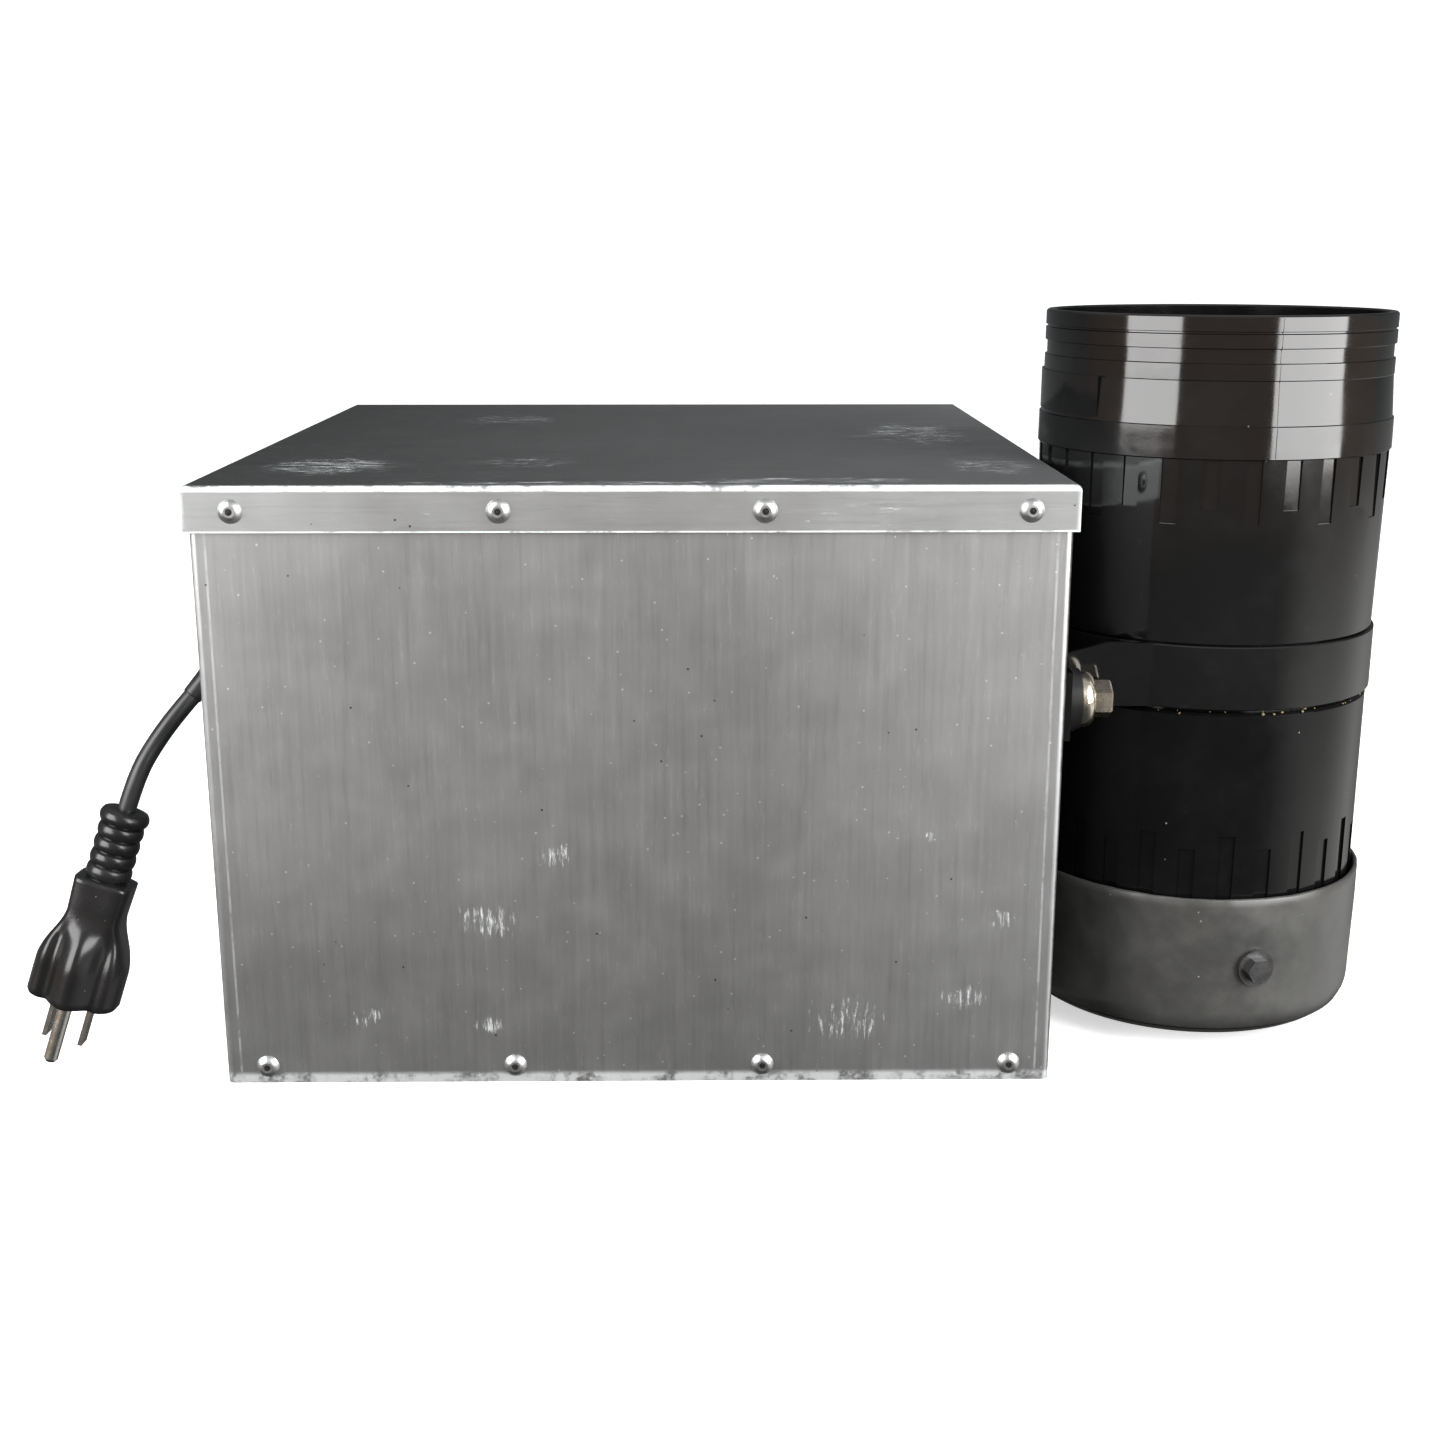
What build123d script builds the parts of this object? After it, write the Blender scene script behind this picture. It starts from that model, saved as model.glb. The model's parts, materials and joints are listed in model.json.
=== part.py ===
"""UV clarifier: a galvanised ballast box with a strapped-on lamp housing and a short mains lead."""
import math
import os

from build123d import *

os.makedirs("parts", exist_ok=True)

# ---- Driving dimensions, millimetres ----------------------------------------------------------
# Galvanised box, lid included
box_width = 279.4
box_depth = 297.0
box_height = 203.2
sheet = 1.2
bend_radius = 2.3
lid_gap = 0.4
lid_flange = 15.0
pan_flange = 12.0
seam_slit = 0.8
seam_x = 60.0
seam_plate_width = 25.0

# Blind rivets
rivet_pitch_x = 83.8
rivet_pitch_y = 89.7
rivet_head_radius = 3.9
rivet_head_height = 1.7
rivet_shank_radius = 2.4
rivet_tail_radius = 3.1
rivet_tail_length = 3.0
rivet_bore_radius = 1.1
lid_rivet_drop = 8.2
base_rivet_height = 6.0

# Lamp housing, measured from the box's middle and front face
house_offset = 202.6
house_setback = 79.0
collar_bottom = 208.0
rim_top = 254.0
rim_radius = 59.4
bore_radius = 56.6
bore_ledge_height = 241.0
bore_ledge = 0.6
collar_radius = 60.6
upper_top_radius = 60.0
upper_bottom_radius = 59.0
neck_radius = 58.4
lower_radius = 59.0
spigot_radius = 55.6
lower_top = 123.2
lower_bottom = 9.0
slot_count = 28
slot_width = 5.5
slot_depth = 0.8
slot_phase = -91.5
upper_slot_lengths = (21.3, 16.4)
lower_slot_tops = (80.0, 75.0)
wall = 2.6

# Clamp strap
strap_bottom = 124.5
strap_top = 146.2
strap_thickness = 1.6
ear_thickness = 2.4
foot_height = 23.0
bolt_height = 130.0
bolt_radius = 3.1
bush_radius = 10.8
bush_length = 4.3
washer_radius = 9.4
washer_height = 4.9
hex_flats = 11.1
hex_height = 5.8

# End cap
cap_bottom = 5.0
cap_top = 58.0
cap_radius = 62.0
cap_corner = 11.0
cap_wall = 1.5
cap_screw_height = 33.0
cap_screw_angle = -80.0
screw_radius = 2.0
slip = 0.05

# Lamp cartridge
sleeve_radius = 14.0
sleeve_wall = 1.5
sleeve_bottom = 30.0
sleeve_top = 220.0
holder_bore = 17.05
holder_radius = 22.0
holder_top = 52.0

# Mains lead
cord_radius = 3.15
gland_radius = 11.0
gland_height = 138.5
gland_setback = 50.0
spout_radius = 5.0

# ---- Places worked out from them --------------------------------------------------------------
# The origin is at the bottom middle of the box and housing together.
left_edge = -(box_width / 2 + lid_gap + sheet + rivet_head_height)
right_edge = house_offset + cap_radius
box_x = -(left_edge + right_edge) / 2
wall_left = box_x - box_width / 2
wall_right = box_x + box_width / 2
front = -box_depth / 2
back = box_depth / 2
lid_out = lid_gap + sheet
wall_top = box_height - sheet
house_x = box_x + house_offset
house_y = front + house_setback
house_axis = Axis((house_x, house_y, 0), (0, 0, 1))
house_plane = Plane(origin=(house_x, house_y, 0), x_dir=(1, 0, 0), z_dir=(0, -1, 0))
screw_direction = Vector(1, 0, 0).rotate(Axis.Z, cap_screw_angle)
screw_directions = [screw_direction, screw_direction * -1]


# ---- Shape helpers, used inside a sub-part's own block ------------------------------------------
def turn(outline, mode=Mode.ADD):
    """Turn a (radius, height) outline about the housing's axis."""
    with BuildSketch(house_plane) as profile:
        with BuildLine():
            Polyline(*outline, close=True)
        make_face()
    revolve(profile.sketch, axis=house_axis, mode=mode)


def block(low, high, mode=Mode.ADD):
    """A box between its lowest and highest corners."""
    size = [b - a for a, b in zip(low, high)]
    middle = tuple((a + b) / 2 for a, b in zip(low, high))
    with Locations(middle):
        Box(*size, mode=mode)


def rod(start, direction, radius, length, mode=Mode.ADD):
    """A round rod from start along direction."""
    with BuildSketch(Plane(origin=start, z_dir=direction)) as section:
        Circle(radius)
    extrude(section.sketch, amount=length, mode=mode)


def hex_bar(start, direction, flats, length, mode=Mode.ADD):
    """A hexagonal bar from start along direction."""
    with BuildSketch(Plane(origin=start, z_dir=direction)) as section:
        RegularPolygon(flats / 2, 6, major_radius=False)
    extrude(section.sketch, amount=length, mode=mode)


def lead(points, radii, radius):
    """A round wire along straight runs that are joined by tangent arcs."""
    with BuildLine() as path:
        FilletPolyline(*points, radius=radii)
    with BuildSketch(Plane(origin=path.line @ 0, z_dir=path.line % 0)) as section:
        Circle(radius)
    sweep(section.sketch, path=path.line)


def corner_radii(points, share=0.45):
    """The largest arc that each corner of a route has room for."""
    radii = []
    for before, corner, after in zip(points, points[1:], points[2:]):
        run_in = Vector(*corner) - Vector(*before)
        run_out = Vector(*after) - Vector(*corner)
        half_turn = math.radians(run_in.get_angle(run_out) / 2)
        radii.append(share * min(run_in.length, run_out.length) / math.tan(half_turn))
    return radii


def side_rivets(height, outward):
    """Start and direction of every rivet round the box, at one height."""
    places = []
    for step in (-1.5, -0.5, 0.5, 1.5):
        x = box_x + step * rivet_pitch_x
        y = step * rivet_pitch_y
        places.append(((x, front - outward, height), (0, 1, 0)))
        places.append(((x, back + outward, height), (0, -1, 0)))
        places.append(((wall_left - outward, y, height), (1, 0, 0)))
        places.append(((wall_right + outward, y, height), (-1, 0, 0)))
    return places


def rivet(place, grip):
    """One blind rivet: domed head, shank, formed tail and the hollow that the mandrel leaves."""
    start, inward = place
    foot = Vector(*start)
    along = Vector(*inward)
    rod(foot, inward, rivet_shank_radius, grip + rivet_tail_length / 2)
    rod(foot + along * grip, inward, rivet_tail_radius, rivet_tail_length)
    with BuildSketch(Plane(origin=foot, x_dir=(0, 0, 1), z_dir=along.cross(Vector(0, 0, 1)))) as dome:
        with BuildLine():
            rise = rivet_head_height
            crown = rivet_bore_radius + 0.7
            rim_start = (0, 0)
            edge = (rivet_head_radius, 0)
            Polyline((0, rise), rim_start, edge)
            ThreePointArc(edge, (rivet_head_radius * 0.8, rise * 0.62), (crown, rise))
            Line((crown, rise), (0, rise))
        make_face()
    revolve(dome.sketch, axis=Axis(foot, along))
    rod(foot - along * rise, inward, rivet_bore_radius, rise * 0.8, mode=Mode.SUBTRACT)


# ---- Box ----------------------------------------------------------------------------------------
lid_rivet_height = box_height - lid_rivet_drop
bolt_y = [front + 15.0, 2 * house_y - (front + 15.0)]
lamp_lead_height = 68.0
lead_bushing_radius = 5.0
gland_y = front + gland_setback
gland_hole = 7.0

with BuildPart() as wall_wrap:
    with BuildSketch():
        with Locations((box_x, 0)):
            RectangleRounded(box_width, box_depth, bend_radius)
            RectangleRounded(box_width - 2 * sheet, box_depth - 2 * sheet, bend_radius - sheet,
                             mode=Mode.SUBTRACT)
    extrude(amount=wall_top)
    slit_left = box_x - seam_x - seam_slit / 2
    block((slit_left, back - 2 * sheet, -1), (slit_left + seam_slit, back + 1, wall_top + 1),
          mode=Mode.SUBTRACT)
    for height in (base_rivet_height, lid_rivet_height):
        for start, inward in side_rivets(height, 0):
            rod(start, inward, rivet_shank_radius, sheet, mode=Mode.SUBTRACT)
    for y in bolt_y:
        rod((wall_right - 2 * sheet, y, bolt_height), (1, 0, 0), bolt_radius, 3 * sheet,
            mode=Mode.SUBTRACT)
    rod((wall_right - 2 * sheet, house_y, lamp_lead_height), (1, 0, 0), lead_bushing_radius,
        3 * sheet, mode=Mode.SUBTRACT)
    rod((wall_left - sheet, gland_y, gland_height), (1, 0, 0), gland_hole, 3 * sheet,
        mode=Mode.SUBTRACT)
    seam_heights = [30 + 35 * step for step in range(5)]
    for side in (-1, 1):
        for height in seam_heights:
            rod((box_x - seam_x + side * seam_plate_width / 4, back, height), (0, -1, 0),
                rivet_shank_radius, sheet, mode=Mode.SUBTRACT)
wall_wrap.part.label = "wall_wrap"
export_step(wall_wrap.part, "parts/wall_wrap.step")

with BuildPart() as seam_plate:
    plate_left = box_x - seam_x - seam_plate_width / 2
    block((plate_left, back - 2 * sheet, pan_flange + 3),
          (plate_left + seam_plate_width, back - sheet, box_height - lid_flange - 3))
    for side in (-1, 1):
        for height in seam_heights:
            rod((box_x - seam_x + side * seam_plate_width / 4, back - sheet, height), (0, -1, 0),
                rivet_shank_radius, sheet, mode=Mode.SUBTRACT)
seam_plate.part.label = "seam_plate"
export_step(seam_plate.part, "parts/seam_plate.step")

with BuildPart() as seam_rivets:
    for side in (-1, 1):
        for height in seam_heights:
            place = ((box_x - seam_x + side * seam_plate_width / 4, back, height), (0, -1, 0))
            rivet(place, 2 * sheet)
seam_rivets.part.label = "seam_rivets"
export_step(seam_rivets.part, "parts/seam_rivets.step")

with BuildPart() as bottom_pan:
    with BuildSketch():
        with Locations((box_x, 0)):
            RectangleRounded(box_width - 2 * sheet, box_depth - 2 * sheet, bend_radius - sheet)
    extrude(amount=pan_flange)
    with BuildSketch(Plane.XY.offset(sheet)):
        with Locations((box_x, 0)):
            Rectangle(box_width - 4 * sheet, box_depth - 4 * sheet)
    extrude(amount=pan_flange, mode=Mode.SUBTRACT)
    for start, inward in side_rivets(base_rivet_height, -sheet):
        rod(start, inward, rivet_shank_radius, sheet, mode=Mode.SUBTRACT)
bottom_pan.part.label = "bottom_pan"
export_step(bottom_pan.part, "parts/bottom_pan.step")

corner_slit = 0.5
slit_reach = 1.0
lid_width = box_width + 2 * lid_out
lid_depth = box_depth + 2 * lid_out
with BuildPart() as lid:
    with BuildSketch(Plane.XY.offset(box_height - lid_flange)):
        with Locations((box_x, 0)):
            Rectangle(lid_width, lid_depth)
    extrude(amount=lid_flange)
    fillet(lid.edges().filter_by(Axis.Z), 0.5)
    fillet(lid.faces().sort_by(Axis.Z)[-1].edges(), bend_radius)
    with BuildSketch(Plane.XY.offset(box_height - lid_flange)):
        with Locations((box_x, 0)):
            Rectangle(lid_width - 2 * sheet, lid_depth - 2 * sheet)
    extrude(amount=lid_flange - sheet, mode=Mode.SUBTRACT)
    # The front and rear flanges run the full width, and the side flanges stop just behind them.
    for side_x in (box_x - lid_width / 2 - slit_reach, box_x + lid_width / 2 - sheet):
        for slit_y in (-lid_depth / 2 + sheet, lid_depth / 2 - sheet - corner_slit):
            block((side_x, slit_y, box_height - lid_flange - slit_reach),
                  (side_x + sheet + slit_reach, slit_y + corner_slit, box_height - bend_radius),
                  mode=Mode.SUBTRACT)
    for start, inward in side_rivets(lid_rivet_height, lid_out):
        rod(start, inward, rivet_shank_radius, sheet, mode=Mode.SUBTRACT)
lid.part.label = "lid"
export_step(lid.part, "parts/lid.step")

with BuildPart() as lid_rivets:
    for place in side_rivets(lid_rivet_height, lid_out):
        rivet(place, lid_out + sheet)
lid_rivets.part.label = "lid_rivets"
export_step(lid_rivets.part, "parts/lid_rivets.step")

with BuildPart() as base_rivets:
    for place in side_rivets(base_rivet_height, 0):
        rivet(place, 2 * sheet)
base_rivets.part.label = "base_rivets"
export_step(base_rivets.part, "parts/base_rivets.step")

# ---- Inside the box -----------------------------------------------------------------------------
ballast_left = box_x - 50.0
ballast_right = box_x + 75.0
ballast_half_width = 38.0
ballast_y = house_y
ballast_top = sheet + 52.0
tab_length = 14.0
tab_thickness = 2.5
tab_half_width = 20.0
tab_hole_offset = 12.0
tab_screw_radius = 2.0
tab_screw_head_radius = 3.8
tab_screw_head_height = 2.4
tab_screw_slot = 1.0
lead_start_height = 34.0

with BuildPart() as ballast:
    block((ballast_left, ballast_y - ballast_half_width, sheet),
          (ballast_right, ballast_y + ballast_half_width, ballast_top))
    fillet(ballast.edges().filter_by(Axis.Z), 4)
    fillet(ballast.faces().sort_by(Axis.Z)[-1].edges(), 2)
    for tab_start in (ballast_left - tab_length, ballast_right - 1):
        block((tab_start, ballast_y - tab_half_width, sheet),
              (tab_start + tab_length + 1, ballast_y + tab_half_width, sheet + tab_thickness))
    ballast_holes = [(x, ballast_y + side * tab_hole_offset) for side in (-1, 1)
                     for x in (ballast_left - tab_length / 2, ballast_right + tab_length / 2)]
    for x, y in ballast_holes:
        rod((x, y, sheet), (0, 0, 1), tab_screw_radius, tab_thickness, mode=Mode.SUBTRACT)
ballast.part.label = "ballast"
export_step(ballast.part, "parts/ballast.step")

with BuildPart() as ballast_screws:
    head_bottom = sheet + tab_thickness
    head_top = head_bottom + tab_screw_head_height
    for x, y in ballast_holes:
        rod((x, y, sheet), (0, 0, 1), tab_screw_radius, tab_thickness)
        rod((x, y, head_bottom), (0, 0, 1), tab_screw_head_radius, tab_screw_head_height)
        block((x - 3, y - tab_screw_slot / 2, head_top - tab_screw_slot),
              (x + 3, y + tab_screw_slot / 2, head_top + 1), mode=Mode.SUBTRACT)
ballast_screws.part.label = "ballast_screws"
export_step(ballast_screws.part, "parts/ballast_screws.step")

block_x = box_x - 95.0
block_y = gland_y + 30.0
block_half_length = 12.0
block_half_width = 19.0
pole_pitch = 11.0
terminal_spacing = 6.0
wire_hole_radius = 2.0
screw_well_radius = 2.6
screw_well_depth = 5.0
terminal_screw_radius = 2.4
terminal_screw_height = 3.4
block_top = sheet + 18.0
terminal_z = sheet + 7.0
poles = [block_y + step * pole_pitch for step in (-1, 0, 1)]
with BuildPart() as terminal_block:
    block((block_x - block_half_length, block_y - block_half_width, sheet),
          (block_x + block_half_length, block_y + block_half_width, block_top))
    fillet(terminal_block.edges().filter_by(Axis.Z), 1.5)
    for y in poles:
        rod((block_x - block_half_length, y, terminal_z), (1, 0, 0), wire_hole_radius,
            2 * block_half_length, mode=Mode.SUBTRACT)
        for x in (block_x - terminal_spacing, block_x + terminal_spacing):
            rod((x, y, block_top - screw_well_depth), (0, 0, 1), screw_well_radius,
                screw_well_depth + 1, mode=Mode.SUBTRACT)
terminal_block.part.label = "terminal_block"
export_step(terminal_block.part, "parts/terminal_block.step")

with BuildPart() as terminal_screws:
    for y in poles:
        for x in (block_x - terminal_spacing, block_x + terminal_spacing):
            well_floor = block_top - screw_well_depth
            rod((x, y, well_floor), (0, 0, 1), terminal_screw_radius, terminal_screw_height)
            block((x - 2, y - 0.4, well_floor + terminal_screw_height - 1), (x + 2, y + 0.4, block_top),
                  mode=Mode.SUBTRACT)
terminal_screws.part.label = "terminal_screws"
export_step(terminal_screws.part, "parts/terminal_screws.step")

stud_x = block_x
stud_y = block_y + 45.0
stud_radius = 2.1
stud_height = 16.0
stud_washer_radius = 5.0
stud_washer = 1.0
stud_nut_flats = 8.0
stud_nut_height = 3.2
with BuildPart() as ground_stud:
    rod((stud_x, stud_y, sheet), (0, 0, 1), stud_radius, stud_height)
    rod((stud_x, stud_y, sheet), (0, 0, 1), stud_washer_radius, stud_washer)
    for nut_bottom in (sheet + stud_washer, sheet + stud_height / 2):
        hex_bar((stud_x, stud_y, nut_bottom), (0, 0, 1), stud_nut_flats, stud_nut_height)
ground_stud.part.label = "ground_stud"
export_step(ground_stud.part, "parts/ground_stud.step")

wire_radius = 1.2
gland_inner_x = wall_left + 9.2
with BuildPart() as supply_leads:
    for step, y in zip((-1, 0, 1), poles):
        route = [(gland_inner_x, gland_y + 2.6 * step, gland_height),
                 (gland_inner_x + 12, gland_y + 2.6 * step, gland_height),
                 (gland_inner_x + 22, gland_y + 4 * step + 2, gland_height - 50),
                 (block_x - 34, y - 1, terminal_z + 30),
                 (block_x - 28, y, terminal_z),
                 (block_x - block_half_length, y, terminal_z)]
        lead(route, corner_radii(route), wire_radius)
supply_leads.part.label = "supply_leads"
export_step(supply_leads.part, "parts/supply_leads.step")

with BuildPart() as ballast_leads:
    for step, y in zip((-1, 0), poles[:2]):
        end_y = ballast_y - 30 + 8 * step + 8
        route = [(block_x + block_half_length, y, terminal_z),
                 (block_x + 22, y, terminal_z),
                 (ballast_left - 12, end_y, lead_start_height),
                 (ballast_left, end_y, lead_start_height)]
        lead(route, corner_radii(route), wire_radius)
    earth_route = [(block_x + block_half_length, poles[2], terminal_z),
                   (block_x + 22, poles[2], terminal_z),
                   (block_x + 24, stud_y - 8, terminal_z - 1),
                   (stud_x + 14, stud_y, sheet + 6.4),
                   (stud_x + stud_radius, stud_y, sheet + 6.4)]
    lead(earth_route, corner_radii(earth_route), wire_radius)
ballast_leads.part.label = "ballast_leads"
export_step(ballast_leads.part, "parts/ballast_leads.step")

lamp_lead_radius = 2.6
lead_end_height = 44.0
bushing_flange_radius = 7.0
bushing_flange = 2.5
with BuildPart() as lamp_lead:
    # Its arcs are short, so that it runs straight through the bushing.
    route = [(ballast_right, house_y, lead_start_height),
             (ballast_right + 14, house_y, lead_start_height),
             (wall_right - 26, house_y, lamp_lead_height),
             (house_x - lower_radius + 14, house_y, lamp_lead_height),
             (house_x - holder_radius - 13, house_y, lead_end_height),
             (house_x - holder_radius, house_y, lead_end_height)]
    lead(route, corner_radii(route, share=0.2), lamp_lead_radius)
lamp_lead.part.label = "lamp_lead"
export_step(lamp_lead.part, "parts/lamp_lead.step")

with BuildPart() as lead_bushing:
    inner_face = wall_right - sheet
    rod((inner_face - bushing_flange, house_y, lamp_lead_height), (1, 0, 0), bushing_flange_radius,
        bushing_flange)
    rod((inner_face, house_y, lamp_lead_height), (1, 0, 0), lead_bushing_radius,
        house_x - lower_radius + 5 - inner_face)
    rod((wall_right, house_y, lamp_lead_height), (1, 0, 0), bushing_flange_radius, bushing_flange)
    rod((inner_face - 3, house_y, lamp_lead_height), (1, 0, 0), lamp_lead_radius + slip, 40,
        mode=Mode.SUBTRACT)
lead_bushing.part.label = "lead_bushing"
export_step(lead_bushing.part, "parts/lead_bushing.step")

# ---- Lamp housing -------------------------------------------------------------------------------
spigot_top = collar_bottom + 12.0
with BuildPart() as upper_housing:
    turn([(neck_radius, strap_bottom), (neck_radius, strap_top), (upper_bottom_radius, strap_top + 0.8),
          (upper_top_radius, collar_bottom), (neck_radius - 0.2, collar_bottom),
          (neck_radius - 0.2, spigot_top), (bore_radius - 1.0, spigot_top),
          (bore_radius - 1.0, strap_bottom)])
    for odd, length in enumerate(upper_slot_lengths):
        with Locations(Location((house_x, house_y, collar_bottom - length / 2))):
            with PolarLocations(upper_top_radius, slot_count // 2,
                                start_angle=slot_phase + odd * 360 / slot_count):
                Box(2 * slot_depth, slot_width, length, mode=Mode.SUBTRACT)
upper_housing.part.label = "upper_housing"
export_step(upper_housing.part, "parts/upper_housing.step")

# Height and radius of each ring of the collar, from its lower edge to the rim
step_a = collar_bottom + 11.0
step_b = collar_bottom + 25.5
step_c = collar_bottom + 30.6
step_d = collar_bottom + 35.3
step_e = collar_bottom + 39.9
step_f = collar_bottom + 40.9
panel_angle = 158.0
panel_arc = 58.0
with BuildPart() as housing_collar:
    turn([(collar_radius, collar_bottom + 0.4), (collar_radius - 0.1, step_a - 0.3),
          (collar_radius - 0.6, step_a), (rim_radius - 0.2, step_b - 0.3), (rim_radius, step_b),
          (rim_radius, step_c), (rim_radius - 0.7, step_c + 0.3), (rim_radius - 0.7, step_d),
          (rim_radius, step_d + 0.3), (rim_radius, step_e), (rim_radius - 0.6, step_e + 0.3),
          (rim_radius - 0.6, step_f - 0.2), (rim_radius, step_f), (rim_radius, rim_top - 0.6),
          (rim_radius - 0.6, rim_top), (bore_radius + 0.6, rim_top), (bore_radius, rim_top - 0.6),
          (bore_radius, bore_ledge_height), (bore_radius - bore_ledge, bore_ledge_height),
          (bore_radius - bore_ledge, spigot_top + 0.3), (neck_radius, spigot_top + 0.3),
          (neck_radius, collar_bottom), (collar_radius - 0.4, collar_bottom)])
    # A raised blank panel on the side that faces the box
    panel_start = Vector(1, 0, 0).rotate(Axis.Z, panel_angle)
    with BuildSketch(Plane(origin=(house_x, house_y, 0), x_dir=panel_start,
                           z_dir=panel_start.cross(Vector(0, 0, 1)))) as panel:
        with Locations(((collar_radius - 0.4 + neck_radius) / 2, (step_a + step_b) / 2 + 0.5)):
            Rectangle(collar_radius - 0.4 - neck_radius, step_b - step_a - 1)
    revolve(panel.sketch, axis=house_axis, revolution_arc=panel_arc)
housing_collar.part.label = "housing_collar"
export_step(housing_collar.part, "parts/housing_collar.step")

with BuildPart() as lower_housing:
    turn([(lower_radius, lower_bottom), (lower_radius, lower_top - 1), (lower_radius - 1, lower_top),
          (spigot_radius - 0.1, lower_top), (spigot_radius - 0.1, strap_top - 6),
          (spigot_radius - wall, strap_top - 6), (spigot_radius - wall, lower_top - 4),
          (lower_radius - wall, lower_top - 8), (lower_radius - wall, lower_bottom + 8),
          (lower_radius - 12, lower_bottom + 8), (lower_radius - 12, lower_bottom)])
    for odd, slot_top in enumerate(lower_slot_tops):
        slot_foot = cap_top - 16
        with Locations(Location((house_x, house_y, (slot_top + slot_foot) / 2))):
            with PolarLocations(lower_radius, slot_count // 2,
                                start_angle=slot_phase + odd * 360 / slot_count):
                Box(2 * slot_depth, slot_width, slot_top - slot_foot, mode=Mode.SUBTRACT)
    rod((house_x - lower_radius - 2, house_y, lamp_lead_height), (1, 0, 0), lead_bushing_radius, 8,
        mode=Mode.SUBTRACT)
    for direction in screw_directions:
        rod(Vector(house_x, house_y, cap_screw_height) + direction * (lower_radius - wall - 1), direction,
            screw_radius, wall + 2, mode=Mode.SUBTRACT)
lower_housing.part.label = "lower_housing"
export_step(lower_housing.part, "parts/lower_housing.step")

strap_radius = neck_radius + strap_thickness
ear_start = house_x - 30.0
ear_offset = math.sqrt((neck_radius + strap_thickness / 2) ** 2 - (house_x - ear_start) ** 2)
with BuildPart() as clamp_strap:
    turn([(neck_radius - 1, strap_bottom), (strap_radius - 0.4, strap_bottom),
          (strap_radius, strap_bottom + 0.4), (strap_radius, strap_top - 0.4),
          (strap_radius - 0.4, strap_top), (neck_radius - 1, strap_top)])
    for side, y in zip((-1, 1), bolt_y):
        ear_y = house_y + side * ear_offset
        with BuildSketch(Plane(origin=(0, ear_y, 0), x_dir=(1, 0, 0), z_dir=(0, -1, 0))) as ear:
            with BuildLine():
                Polyline((wall_right, bolt_height - foot_height / 2), (wall_right + 6, strap_bottom),
                         (ear_start + 6, strap_bottom), (ear_start + 6, strap_top),
                         (wall_right + 17, strap_top), (wall_right, bolt_height + foot_height / 2),
                         close=True)
            make_face()
        extrude(ear.sketch, amount=ear_thickness / 2, both=True)
        foot_ends = sorted((ear_y - side * ear_thickness / 2, y + side * foot_height / 2))
        block((wall_right, foot_ends[0], bolt_height - foot_height / 2),
              (wall_right + ear_thickness, foot_ends[1], bolt_height + foot_height / 2))
        rod((wall_right - 1, y, bolt_height), (1, 0, 0), bolt_radius, ear_thickness + 2,
            mode=Mode.SUBTRACT)
    rod((house_x, house_y, strap_bottom - 1), (0, 0, 1), neck_radius + slip, strap_top - strap_bottom + 2,
        mode=Mode.SUBTRACT)
clamp_strap.part.label = "clamp_strap"
export_step(clamp_strap.part, "parts/clamp_strap.step")

bush_start = wall_right + ear_thickness
washer_start = bush_start + bush_length
head_start = washer_start + washer_height
with BuildPart() as strap_bushes:
    for y in bolt_y:
        rod((bush_start, y, bolt_height), (1, 0, 0), bush_radius, bush_length * 0.6)
        rod((bush_start, y, bolt_height), (1, 0, 0), bush_radius - 0.7, bush_length)
        rod((bush_start, y, bolt_height), (1, 0, 0), bolt_radius, bush_length, mode=Mode.SUBTRACT)
strap_bushes.part.label = "strap_bushes"
export_step(strap_bushes.part, "parts/strap_bushes.step")

with BuildPart() as strap_washers:
    for y in bolt_y:
        with BuildSketch(Plane(origin=(washer_start, y, bolt_height), x_dir=(0, 0, 1),
                               z_dir=(0, 1, 0))) as dome:
            with BuildLine():
                Polyline((bolt_radius, washer_height), (bolt_radius, 0), (washer_radius, 0),
                         (washer_radius, 0.9))
                ThreePointArc((washer_radius, 0.9), (washer_radius - 0.9, washer_height * 0.75),
                              (washer_radius - 3.2, washer_height))
                Line((washer_radius - 3.2, washer_height), (bolt_radius, washer_height))
            make_face()
        revolve(dome.sketch, axis=Axis((0, y, bolt_height), (1, 0, 0)))
strap_washers.part.label = "strap_washers"
export_step(strap_washers.part, "parts/strap_washers.step")

nut_end = wall_right - sheet
nut_height = 5.6
nut_washer = 1.4
nut_washer_radius = 7.5
bolt_end = nut_end - nut_washer - nut_height - 4.0
with BuildPart() as strap_bolts:
    for y in bolt_y:
        rod((bolt_end, y, bolt_height), (1, 0, 0), bolt_radius, head_start - bolt_end)
        hex_bar((head_start, y, bolt_height), (1, 0, 0), hex_flats, hex_height)
    chamfer(strap_bolts.faces().sort_by(Axis.X)[-2:].edges(), 0.6)
strap_bolts.part.label = "strap_bolts"
export_step(strap_bolts.part, "parts/strap_bolts.step")

with BuildPart() as strap_nuts:
    for y in bolt_y:
        rod((nut_end - nut_washer, y, bolt_height), (1, 0, 0), nut_washer_radius, nut_washer)
        hex_bar((nut_end - nut_washer - nut_height, y, bolt_height), (1, 0, 0), hex_flats, nut_height)
        rod((nut_end - 10, y, bolt_height), (1, 0, 0), bolt_radius, 10, mode=Mode.SUBTRACT)
strap_nuts.part.label = "strap_nuts"
export_step(strap_nuts.part, "parts/strap_nuts.step")

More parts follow.
